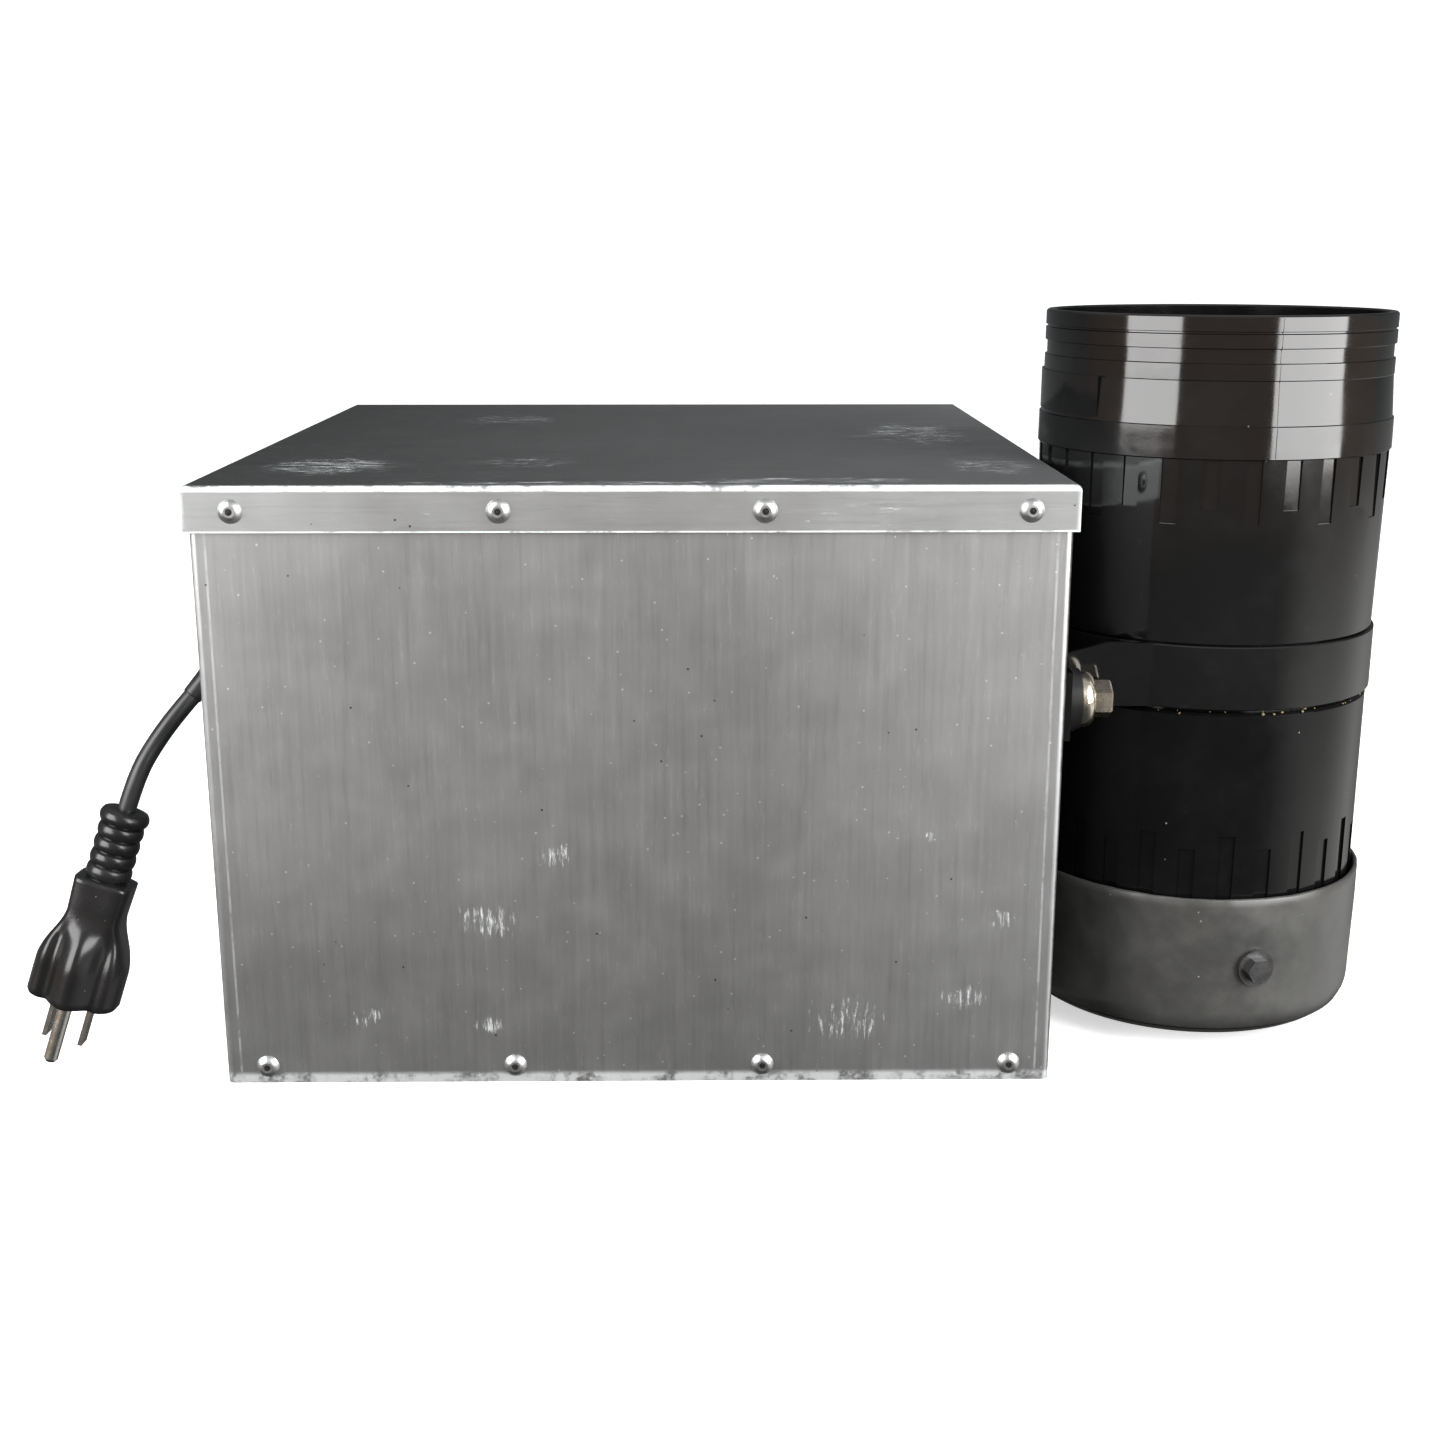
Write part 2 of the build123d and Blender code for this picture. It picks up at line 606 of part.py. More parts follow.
cap_bore = lower_radius + slip
cap_lip_depth = 18.0
cap_screw_length = 7.0
cap_screw_flange = 1.2
cap_screw_flange_radius = 6.5
cap_screw_flats = 8.0
cap_screw_head = 3.4
with BuildPart() as end_cap:
    turn([(0, cap_bottom), (cap_radius - 0.8, cap_bottom), (cap_radius, cap_top - 0.4),
          (cap_radius - 0.4, cap_top), (cap_radius - cap_wall + 0.3, cap_top),
          (cap_radius - cap_wall, cap_top - 0.4), (cap_radius - cap_wall, cap_top - cap_lip_depth),
          (cap_bore, cap_top - cap_lip_depth - 3), (cap_bore, lower_bottom), (0, lower_bottom)])
    fillet(end_cap.edges().filter_by(GeomType.CIRCLE).group_by(Axis.Z)[0].sort_by(SortBy.RADIUS)[-1],
           cap_corner)
    for direction in screw_directions:
        start = Vector(house_x, house_y, cap_screw_height) + direction * (lower_radius - 1)
        rod(start, direction, screw_radius, 6, mode=Mode.SUBTRACT)
end_cap.part.label = "end_cap"
export_step(end_cap.part, "parts/end_cap.step")

with BuildPart() as cap_screws:
    for direction in screw_directions:
        seat = Vector(house_x, house_y, cap_screw_height) + direction * (cap_radius - 0.28)
        rod(seat - direction * (cap_screw_length - 0.5), direction, screw_radius, cap_screw_length)
        rod(seat, direction, cap_screw_flange_radius, cap_screw_flange)
        hex_bar(seat + direction * cap_screw_flange, direction, cap_screw_flats, cap_screw_head)
cap_screws.part.label = "cap_screws"
export_step(cap_screws.part, "parts/cap_screws.step")

# ---- Lamp and its holder ------------------------------------------------------------------------
holder_floor = lower_bottom + 0.2
arm_top = lower_bottom + 6.5
arm_length = 25.5
arm_overlap = 1.25
arm_width = 12.0
socket_floor = 28.0
pin_bottom = 19.0
pin_clearance = 0.07
seal_heights = (36.0, 43.0)
seal_height = 2.2
seal_depth = 1.2
pin_radius = 1.25
pin_circle = 5.5
pin_places = [(house_x + pin_circle * math.cos(math.radians(45 + 90 * step)),
               house_y + pin_circle * math.sin(math.radians(45 + 90 * step))) for step in range(4)]
with BuildPart() as lamp_holder:
    turn([(0, holder_floor), (holder_radius, holder_floor), (holder_radius, holder_top - 2),
          (holder_radius - 2, holder_top), (holder_bore, holder_top), (holder_bore, socket_floor),
          (0, socket_floor)])
    with Locations((house_x, house_y, (holder_floor + arm_top) / 2)):
        with PolarLocations(0, 3, start_angle=90):
            with Locations((holder_radius - arm_overlap + arm_length / 2, 0, 0)):
                Box(arm_length, arm_width, arm_top - holder_floor)
    for x, y in pin_places:
        rod((x, y, pin_bottom - 3), (0, 0, 1), pin_radius + pin_clearance, 14, mode=Mode.SUBTRACT)
lamp_holder.part.label = "lamp_holder"
export_step(lamp_holder.part, "parts/lamp_holder.step")

lamp_bottom = sleeve_bottom + 24.0
with BuildPart() as sleeve_collar:
    turn([(sleeve_radius, sleeve_bottom - 1.5), (holder_bore - 0.05, sleeve_bottom - 1.5),
          (holder_bore - 0.05, holder_top + 0.4), (holder_radius - 1, holder_top + 0.4),
          (holder_radius - 1, holder_top + 6), (holder_radius - 3, holder_top + 8),
          (sleeve_radius, holder_top + 8)])
    for height in seal_heights:
        turn([(holder_bore - seal_depth, height), (holder_bore + 1, height),
              (holder_bore + 1, height + seal_height), (holder_bore - seal_depth, height + seal_height)],
             mode=Mode.SUBTRACT)
sleeve_collar.part.label = "sleeve_collar"
export_step(sleeve_collar.part, "parts/sleeve_collar.step")

with BuildPart() as sleeve_seals:
    for height in seal_heights:
        seal_low = height + 0.1
        seal_high = height + seal_height - 0.1
        turn([(holder_bore - seal_depth, seal_low), (holder_bore - 0.06, seal_low),
              (holder_bore - 0.06, seal_high), (holder_bore - seal_depth, seal_high)])
sleeve_seals.part.label = "sleeve_seals"
export_step(sleeve_seals.part, "parts/sleeve_seals.step")

inner_radius = sleeve_radius - sleeve_wall
sleeve_shoulder = sleeve_top - sleeve_radius
sleeve_foot = (house_x, house_y, sleeve_bottom)
with BuildPart() as quartz_sleeve:
    rod(sleeve_foot, (0, 0, 1), sleeve_radius, sleeve_shoulder - sleeve_bottom)
    with Locations((house_x, house_y, sleeve_shoulder)):
        Sphere(sleeve_radius)
    rod(sleeve_foot, (0, 0, 1), inner_radius, sleeve_shoulder - sleeve_bottom, mode=Mode.SUBTRACT)
    with Locations((house_x, house_y, sleeve_shoulder)):
        Sphere(inner_radius, mode=Mode.SUBTRACT)
quartz_sleeve.part.label = "quartz_sleeve"
export_step(quartz_sleeve.part, "parts/quartz_sleeve.step")

with BuildPart() as lamp_base:
    turn([(0, sleeve_bottom), (inner_radius - 0.3, sleeve_bottom), (inner_radius - 0.3, lamp_bottom - 2),
          (inner_radius - 2, lamp_bottom), (0, lamp_bottom)])
lamp_base.part.label = "lamp_base"
export_step(lamp_base.part, "parts/lamp_base.step")

with BuildPart() as lamp_pins:
    for x, y in pin_places:
        rod((x, y, pin_bottom), (0, 0, 1), pin_radius, sleeve_bottom - pin_bottom)
lamp_pins.part.label = "lamp_pins"
export_step(lamp_pins.part, "parts/lamp_pins.step")

tube_radius = 4.8
tube_spacing = 6.0
tube_top = sleeve_top - 16.0
with BuildPart() as uv_lamp:
    for side in (-1, 1):
        rod((house_x + side * tube_spacing, house_y, lamp_bottom), (0, 0, 1), tube_radius,
            tube_top - lamp_bottom)
    fillet(uv_lamp.faces().sort_by(Axis.Z)[-2:].edges(), 3.0)
    rod((house_x - tube_spacing, house_y, tube_top - 9), (1, 0, 0), 2.4, 2 * tube_spacing)
uv_lamp.part.label = "uv_lamp"
export_step(uv_lamp.part, "parts/uv_lamp.step")

boot_bottom = sleeve_top - 30.0
boot_radius = sleeve_radius + 2.2
boot_top = sleeve_top + 2.5
loop_width = 20.0
loop_height = 16.0
loop_bar = 3.5
loop_thickness = 4.4
with BuildPart() as pull_cap:
    turn([(0, boot_bottom), (boot_radius, boot_bottom), (boot_radius, sleeve_top - 8),
          (boot_radius - 1.6, sleeve_top - 3), (boot_radius - 6, boot_top), (0, boot_top)])
    with BuildSketch(Plane(origin=(house_x, house_y, 0), x_dir=(0, 1, 0), z_dir=(1, 0, 0))) as loop:
        with Locations((0, boot_top + 6.5)):
            RectangleRounded(loop_width, loop_height, 5)
            RectangleRounded(loop_width - 2 * loop_bar, loop_height - 2 * loop_bar, 3, mode=Mode.SUBTRACT)
    extrude(loop.sketch, amount=loop_thickness / 2, both=True)
    rod((house_x, house_y, boot_bottom), (0, 0, 1), sleeve_radius, sleeve_shoulder - boot_bottom,
        mode=Mode.SUBTRACT)
    with Locations((house_x, house_y, sleeve_shoulder)):
        Sphere(sleeve_radius, mode=Mode.SUBTRACT)
pull_cap.part.label = "pull_cap"
export_step(pull_cap.part, "parts/pull_cap.step")

# ---- Mains lead ---------------------------------------------------------------------------------
# Route points are set from the box's middle and front face, like the housing.
relief_top = Vector(box_x - 176.1, front + 30.0, 87.4)
plug_foot = Vector(box_x - 204.5, front + 21.5, 1.9)
plug_axis = (plug_foot - relief_top).normalized()
plug_front = (Vector(0, -1, 0) - plug_axis * plug_axis.dot(Vector(0, -1, 0))).normalized()
plug_side = plug_axis.cross(plug_front)

cord_points = [(box_x - 148.9, front + 45.9, 130.9),
               (box_x - 157.4, front + 40.2, 121.5),
               (box_x - 165.6, front + 35.8, 110.8),
               (box_x - 172.0, front + 31.2, 99.7),
               (box_x - 176.1, front + 30.0, 87.4)]
cord_radii = corner_radii(cord_points)
print("cord radii", [round(radius, 1) for radius in cord_radii])
with BuildPart() as power_cord:
    lead(cord_points, cord_radii, cord_radius)
power_cord.part.label = "power_cord"
export_step(power_cord.part, "parts/power_cord.step")

cord_exit = Vector(*cord_points[0])
exit_direction = (Vector(*cord_points[1]) - cord_exit).normalized()
spout_length = 11.0
head_thickness = 3.6
nut_thickness = 5.0
barrel_end = wall_left + sheet + nut_thickness + 3
with BuildPart() as cord_gland:
    rod((wall_left - head_thickness, gland_y, gland_height), (1, 0, 0), gland_radius, head_thickness)
    fillet(cord_gland.faces().sort_by(Axis.X)[0].edges(), 1.2)
    rod(cord_exit - exit_direction * spout_length, exit_direction, spout_radius, spout_length)
    block((wall_left, gland_y - 15, gland_height - 15), (wall_left + 15, gland_y + 15, gland_height + 15),
          mode=Mode.SUBTRACT)
    rod((wall_left, gland_y, gland_height), (1, 0, 0), gland_hole, barrel_end - wall_left)
cord_gland.part.label = "cord_gland"
export_step(cord_gland.part, "parts/cord_gland.step")

with BuildPart() as gland_nut:
    hex_bar((wall_left + sheet, gland_y, gland_height), (1, 0, 0), 20.0, nut_thickness)
    rod((wall_left, gland_y, gland_height), (1, 0, 0), gland_hole, 12, mode=Mode.SUBTRACT)
gland_nut.part.label = "gland_nut"
export_step(gland_nut.part, "parts/gland_nut.step")

relief_length = 25.0
relief_ribs = 5
relief_radius = 6.3
rib_radius = 7.8
rib_share = 0.62
body_length = 45.0
body_end = relief_length + body_length


def plug_point(along, side=0.0, forward=0.0):
    """A point of the plug, from the top of its strain relief."""
    return relief_top + plug_axis * along + plug_side * side + plug_front * forward


with BuildPart() as plug_body:
    rod(plug_point(0), plug_axis, relief_radius, relief_length + 1)
    rib_pitch = relief_length / relief_ribs
    for rib in range(relief_ribs):
        rod(plug_point(rib * rib_pitch), plug_axis, rib_radius, rib_pitch * rib_share)
    # Half width and half depth of the moulded body, from its neck to its face
    stations = [(relief_length, 9.8, 8.4), (relief_length + 12, 9.6, 9.2), (relief_length + 25, 13.6, 12.0),
                (relief_length + 36, 15.0, 13.0), (body_end, 14.4, 12.6)]
    rings = []
    for along, half_width, half_depth in stations:
        plane = Plane(origin=plug_point(along), x_dir=plug_side, z_dir=plug_axis)
        with BuildSketch(plane) as ring:
            RectangleRounded(2 * half_width, 2 * half_depth, min(half_width, half_depth) * 0.6)
        rings.append(ring.sketch.faces()[0])
    loft(rings)
plug_body.part.label = "plug_body"
export_step(plug_body.part, "parts/plug_body.step")

blade_spacing = 12.7
blade_thickness = 1.5
blade_width = 6.35
blade_length = 16.5
blade_hole_radius = 1.6
blade_hole_from_tip = 4.5
ground_tip = 1.2
ground_length = 21.0
ground_radius = 2.38
blade_back = 4.0
ground_forward = 7.9
with BuildPart() as plug_blades:
    for side in (-1, 1):
        plane = Plane(origin=plug_point(body_end, side * blade_spacing / 2, -blade_back),
                      x_dir=plug_side, z_dir=plug_axis)
        with BuildSketch(plane) as blade:
            Rectangle(blade_thickness, blade_width)
        extrude(blade.sketch, amount=blade_length)
        rod(plug_point(body_end + blade_length - blade_hole_from_tip, side * blade_spacing / 2 - 2,
                       -blade_back), plug_side, blade_hole_radius, 4, mode=Mode.SUBTRACT)
plug_blades.part.label = "plug_blades"
export_step(plug_blades.part, "parts/plug_blades.step")

with BuildPart() as plug_ground_pin:
    rod(plug_point(body_end, 0, ground_forward), plug_axis, ground_radius, ground_length - ground_tip)
    tip_plane = Plane(origin=plug_point(body_end + ground_length - ground_tip, 0, ground_forward),
                      z_dir=plug_axis)
    with BuildSketch(tip_plane) as tip:
        Circle(ground_radius)
    extrude(tip.sketch, amount=ground_tip, taper=35)
plug_ground_pin.part.label = "plug_ground_pin"
export_step(plug_ground_pin.part, "parts/plug_ground_pin.step")

cord_volume = power_cord.part.volume
print("cord length from volume", round(cord_volume / (math.pi * cord_radius ** 2), 1))
print("box x", round(box_x, 2), "house x", round(house_x, 2), "house y", round(house_y, 2))
print("pin tip height", round(plug_ground_pin.part.bounding_box().min.Z, 2))
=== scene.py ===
"""UV clarifier: a galvanised ballast box, a strapped-on black lamp housing and a short mains lead."""

import json
import math
import random

import bmesh
import bpy
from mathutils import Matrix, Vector, noise
from mathutils.bvhtree import BVHTree


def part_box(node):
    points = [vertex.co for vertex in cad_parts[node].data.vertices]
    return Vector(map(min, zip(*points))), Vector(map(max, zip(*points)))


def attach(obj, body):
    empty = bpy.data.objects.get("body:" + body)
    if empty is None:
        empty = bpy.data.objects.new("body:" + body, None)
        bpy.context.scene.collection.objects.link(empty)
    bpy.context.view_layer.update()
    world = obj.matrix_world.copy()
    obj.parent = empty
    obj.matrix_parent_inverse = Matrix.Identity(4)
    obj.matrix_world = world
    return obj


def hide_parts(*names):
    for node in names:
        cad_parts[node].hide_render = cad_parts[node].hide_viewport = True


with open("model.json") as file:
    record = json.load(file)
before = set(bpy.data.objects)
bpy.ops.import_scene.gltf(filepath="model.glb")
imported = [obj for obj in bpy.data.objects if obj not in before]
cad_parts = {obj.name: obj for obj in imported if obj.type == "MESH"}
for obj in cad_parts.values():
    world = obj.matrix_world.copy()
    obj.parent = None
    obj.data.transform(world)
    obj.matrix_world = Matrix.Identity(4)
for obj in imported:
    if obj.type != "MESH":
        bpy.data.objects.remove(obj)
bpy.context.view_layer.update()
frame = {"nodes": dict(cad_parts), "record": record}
nodes = frame["nodes"]

# ---- Places taken from the frame, in metres ------------------------------------------------------
wall_low, wall_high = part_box("wall_wrap")
lid_low, lid_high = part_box("lid")
cap_low, cap_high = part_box("end_cap")
collar_low, collar_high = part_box("housing_collar")
house_x = (cap_low.x + cap_high.x) / 2
house_y = (cap_low.y + cap_high.y) / 2
box_x = (wall_low.x + wall_high.x) / 2
front = wall_low.y

# ---- Camera --------------------------------------------------------------------------------------
camera_place = (-0.0385, -0.7253, 0.2760)
camera_pitch = 0.2543
camera_yaw = 0.0106
sensor = 36.0
focal_length = 45.87

camera = bpy.data.objects.new("camera", bpy.data.cameras.new("camera"))
bpy.context.scene.collection.objects.link(camera)
camera.location = camera_place
camera.rotation_euler = (math.pi / 2 - camera_pitch, 0, -camera_yaw)
camera.data.sensor_width = sensor
camera.data.lens = focal_length
camera.data.clip_end = 60
bpy.context.scene.camera = camera


# ---- Shader helpers ------------------------------------------------------------------------------
class Shader:
    """A Principled material that is built from procedural nodes in object space."""

    def __init__(self, name, **constants):
        self.material = bpy.data.materials.new(name)
        self.material.use_nodes = True
        self.tree = self.material.node_tree
        self.principled = self.tree.nodes["Principled BSDF"]
        self.place = self.tree.nodes.new("ShaderNodeTexCoord").outputs["Object"]
        self.normal = None
        for socket, value in constants.items():
            self.principled.inputs[socket.replace("_", " ")].default_value = value

    def add(self, kind, inputs=None, **settings):
        made = self.tree.nodes.new("ShaderNode" + kind)
        for key, value in settings.items():
            setattr(made, key, value)
        for key, value in (inputs or {}).items():
            if isinstance(value, bpy.types.NodeSocket):
                self.tree.links.new(value, made.inputs[key])
            else:
                made.inputs[key].default_value = value
        return made

    def math(self, operation, first, second=0.0, clamp=False):
        return self.add("Math", {0: first, 1: second}, operation=operation, use_clamp=clamp).outputs[0]

    def stretched(self, factors, offset=(0, 0, 0)):
        """Object coordinates scaled along each axis."""
        return self.add("Mapping", {"Vector": self.place, "Scale": factors, "Location": offset}).outputs[0]

    def noise(self, scale, detail=3.0, roughness=0.5, factors=(1, 1, 1), offset=(0, 0, 0)):
        place = self.stretched(factors, offset)
        inputs = {"Vector": place, "Scale": scale, "Detail": detail, "Roughness": roughness}
        return self.add("TexNoise", inputs).outputs[0]

    def cells(self, scale, randomness=1.0, feature="F1", output="Distance"):
        inputs = {"Vector": self.place, "Scale": scale, "Randomness": randomness}
        return self.add("TexVoronoi", inputs, feature=feature).outputs[output]

    def span(self, value, low, high, out_low=0.0, out_high=1.0, smooth=True):
        """A value's place between low and high, spread over another range."""
        inputs = {0: value, 1: low, 2: high, 3: out_low, 4: out_high}
        kind = "SMOOTHSTEP" if smooth else "LINEAR"
        return self.add("MapRange", inputs, interpolation_type=kind).outputs[0]

    def mix(self, share, first, second):
        return self.add("Mix", {0: share, 6: colour(first), 7: colour(second)}, data_type="RGBA").outputs[2]

    def axes(self):
        split = self.add("SeparateXYZ", {0: self.place})
        return split.outputs[0], split.outputs[1], split.outputs[2]

    def blob(self, centre, reach):
        """1 at a place, falling to 0 at its reach along each axis."""
        away = self.add("VectorMath", {0: self.place, 1: centre}, operation="SUBTRACT").outputs[0]
        away = self.add("VectorMath", {0: away, 1: reach}, operation="DIVIDE").outputs[0]
        length = self.add("VectorMath", {0: away}, operation="LENGTH").outputs["Value"]
        return self.span(length, 0.25, 1.0, 1.0, 0.0)

    def stripe(self, value, middle, half_width):
        """1 where a coordinate is within half a width of the middle."""
        away = self.math("ABSOLUTE", self.math("SUBTRACT", value, middle))
        return self.span(away, half_width * 0.5, half_width, 1.0, 0.0)

    def bump(self, height, strength, distance):
        inputs = {"Height": height, "Strength": strength, "Distance": distance}
        if self.normal is not None:
            inputs["Normal"] = self.normal
        self.normal = self.add("Bump", inputs).outputs[0]
        self.tree.links.new(self.normal, self.principled.inputs["Normal"])

    def feed(self, socket, value):
        self.tree.links.new(value, self.principled.inputs[socket])


def colour(value):
    """A grey or RGB value as RGBA, with sockets passed through."""
    if isinstance(value, bpy.types.NodeSocket):
        return value
    if isinstance(value, (int, float)):
        return (value, value, value, 1.0)
    return (*value, 1.0)


# ---- Metals --------------------------------------------------------------------------------------
def galvanised(name, tone, dark, rubs, squeeze, fold_wear_and_highlights, rough=0.33, grazing=1.0, top_unshaded_share=1.0,
               wave=0.08, pale_metal=0.62, painted_shade_x=None):
    """Zinc-coated sheet: fine rolling streaks, smudges, specks, pale rubs, worn folds and painted fold
    highlights.

    Streaks run along the axis that squeeze leaves at 0. top_unshaded_share is the share of tone that faces
    looking up keep under a painted shade, darkest at the lid's left end, and painted_shade_x is the place
    on the X axis where the wall takes a painted shade, on its face beside the housing. wave is the depth of
    the slow dents, and pale_metal is how metallic a rubbed mark stays.
    """
    s = Shader(name, Metallic=0.97, Specular_Tint=colour(grazing))
    x, y, z = s.axes()
    cloud = s.noise(8, 4, 0.6)
    mottle = s.noise(60, 5, 0.62)
    grain = s.noise(900, 2, 0.6)
    long_streak = s.noise(20, 5, 0.7, factors=[1 + 24 * share for share in squeeze])
    short_streak = s.noise(140, 4, 0.7, factors=[1 + 6 * share for share in squeeze])
    facing = s.add("SeparateXYZ", {0: s.add("NewGeometry").outputs["Normal"]}).outputs
    is_top = s.span(facing[2], 0.6, 0.95)

    shade = s.mix(s.span(cloud, 0.2, 0.8), dark, tone)
    shade = s.mix(s.math("MULTIPLY", s.span(mottle, 0.4, 0.7), 0.16), shade, [c * 1.2 for c in tone])
    shade = s.mix(s.math("MULTIPLY", s.span(long_streak, 0.5, 0.72), 0.20), shade, 0.78)
    shade = s.mix(s.math("MULTIPLY", s.span(long_streak, 0.5, 0.28), 0.18), shade, 0.14)
    shade = s.mix(s.math("MULTIPLY", s.span(short_streak, 0.56, 0.70), 0.22), shade, 0.80)
    # Painted shade: faces that look up are darkened, most at the lid's left end and not at all at its right
    # end
    painted_top_shade = s.span(x, lid_low.x, lid_high.x, 2.4, 0.0, smooth=False)
    painted_top_shade = s.math("MULTIPLY", s.math("MULTIPLY", is_top, 1 - top_unshaded_share), painted_top_shade)
    shade = s.mix(painted_top_shade, shade, (0.02, 0.022, 0.022))
    dash = s.math("MULTIPLY", s.span(short_streak, 0.54, 0.66), is_top)
    shade = s.mix(s.math("MULTIPLY", dash, 0.40), shade, 0.62)
    # Painted shade: the wall face at painted_shade_x, beside the housing, is darkened nearly to black
    if painted_shade_x is not None:
        shade = s.mix(s.math("MULTIPLY", s.stripe(x, painted_shade_x, 0.0012), 0.85), shade, 0.06)

    # Dark pits and pale specks
    pit = s.span(s.cells(230), 0.05, 0.12, 1, 0)
    pick = s.add("SeparateColor", {0: s.cells(230, output="Color")}).outputs
    shade = s.mix(s.math("MULTIPLY", pit, s.span(pick[0], 0.90, 0.92)), shade, 0.08)
    shade = s.mix(s.math("MULTIPLY", pit, s.span(pick[1], 0.84, 0.86)), shade, 0.85)

    # Pale rubs: fine strokes, thick in the middle of each patch and sparse at its edge
    stroke = s.noise(130, 6, 0.8, factors=[1 + 5 * share for share in squeeze])
    patches = None
    for centre, reach, strength in rubs:
        patch = s.math("MULTIPLY", s.blob(centre, reach), strength)
        patches = patch if patches is None else s.math("MAXIMUM", patches, patch)
    raised = s.math("ADD", stroke, s.math("MULTIPLY", s.math("SUBTRACT", patches, 1.0), 0.24))
    worn = s.math("MULTIPLY", s.span(raised, 0.44, 0.60), s.math("POWER", patches, 0.5), clamp=True)

    # Thin pale marks along the folds: wear, and painted highlights on the wall's bottom hem and the lid's
    # top bend
    nick = s.noise(130, 5, 0.8)
    edges = None
    for axis, middle, half_width, strength in fold_wear_and_highlights:
        number = "xyz".index(axis)
        line = s.math("MULTIPLY", s.stripe((x, y, z)[number], middle, half_width), strength)
        flat = s.span(s.math("ABSOLUTE", facing[number]), 0.7, 0.97, 1.0, 0.0)
        line = s.math("MULTIPLY", line, flat)
        edges = line if edges is None else s.math("MAXIMUM", edges, line)
    edges = s.math("MULTIPLY", edges, s.span(nick, 0.34, 0.54), clamp=True)
    pale = s.math("MAXIMUM", worn, edges)
    shade = s.mix(pale, shade, (0.76, 0.80, 0.80))
    s.feed("Base Color", shade)

    uneven = s.math("ADD", s.span(cloud, 0.25, 0.75, 0.0, 0.05), s.math("MULTIPLY", mottle, 0.08))
    uneven = s.math("MULTIPLY", uneven, s.span(is_top, 0, 1, 1.0, 0.15, smooth=False))
    rough = s.math("ADD", uneven, rough)
    rough = s.math("ADD", rough, s.math("MULTIPLY", s.math("MULTIPLY", long_streak, is_top), 0.07))
    rough = s.math("ADD", rough, s.math("MULTIPLY", pale, 0.16))
    s.feed("Roughness", rough)
    s.feed("Metallic", s.span(pale, 0, 1, 0.97, pale_metal, smooth=False))
    s.bump(grain, 0.08, 0.0002)
    s.bump(long_streak, 0.10, 0.0002)
    s.bump(cloud, wave, 0.003)
    return s.material


def plated(name, tone, rough_low, rough_high, grime=0.3, grime_tone=(0.06, 0.05, 0.04)):
    """Plated or bare metal with fine scratches and grime."""
    s = Shader(name, Metallic=1.0)
    smear = s.noise(240, 4, 0.6)
    fine = s.noise(1500, 3, 0.6)
    shade = s.mix(s.span(fine, 0.3, 0.7), [c * 0.85 for c in tone], tone)
    shade = s.mix(s.math("MULTIPLY", s.span(smear, 0.5, 0.75), grime), shade, grime_tone)
    s.feed("Base Color", shade)
    s.feed("Roughness", s.span(smear, 0.3, 0.75, rough_low, rough_high))
    s.bump(fine, 0.08, 0.0002)
    return s.material


# ---- Plastics and rubbers ------------------------------------------------------------------------
def moulding(name, tone, rough_low, rough_high, dust=0.0, ripple=0.0, grain=0.0, cloud_scale=14, ior=1.5):
    """A moulded plastic or rubber skin: soft waves, fine grain, smears and specks of dust."""
    s = Shader(name, IOR=ior)
    wave = s.noise(cloud_scale, 2, 0.5)
    smear = s.noise(45, 5, 0.65)
    fine = s.noise(1300, 3, 0.6)
    lit = [min(1.0, c * 1.6) for c in tone]
    shade = s.mix(s.span(smear, 0.35, 0.75), tone, lit)
    rough = s.span(smear, 0.3, 0.8, rough_low, rough_high)
    if dust:
        spot = s.cells(170)
        pick = s.add("SeparateColor", {0: s.cells(170, output="Color")}).outputs[1]
        speck = s.math("MULTIPLY", s.span(spot, 0.03, 0.075, 1, 0), s.span(pick, 0.78, 0.8))
        haze = s.math("MULTIPLY", s.span(s.noise(90, 6, 0.8), 0.60, 0.85), 0.05)
        mark = s.math("MULTIPLY", s.math("MAXIMUM", speck, haze), dust, clamp=True)
        shade = s.mix(mark, shade, (0.42, 0.40, 0.35))
        rough = s.math("ADD", rough, s.math("MULTIPLY", mark, 0.4))
    s.feed("Base Color", shade)
    s.feed("Roughness", rough)
    if ripple:
        s.bump(wave, ripple, 0.004)
    if grain:
        s.bump(fine, grain, 0.0003)
    return s.material


def clear_glass(name, tone, roughness):
    """Thin-walled quartz or lamp glass with a faint film."""
    s = Shader(name, Transmission_Weight=0.9, IOR=1.46, Alpha=1.0)
    film = s.noise(60, 4, 0.6)
    s.feed("Base Color", s.mix(film, tone, [c * 0.9 for c in tone]))
    s.feed("Roughness", s.span(film, 0.3, 0.8, roughness, roughness + 0.12))
    return s.material


# ---- The materials, one per record slot where a CAD node shows -------------------------------------
zinc_tone = (0.52, 0.53, 0.535)
zinc_dark = (0.46, 0.47, 0.475)
lid_tone = (0.58, 0.60, 0.605)
lid_dark = (0.52, 0.54, 0.545)
fold_inset = 0.005
upright = (1, 1, 0)
crosswise = (0, 1, 1)

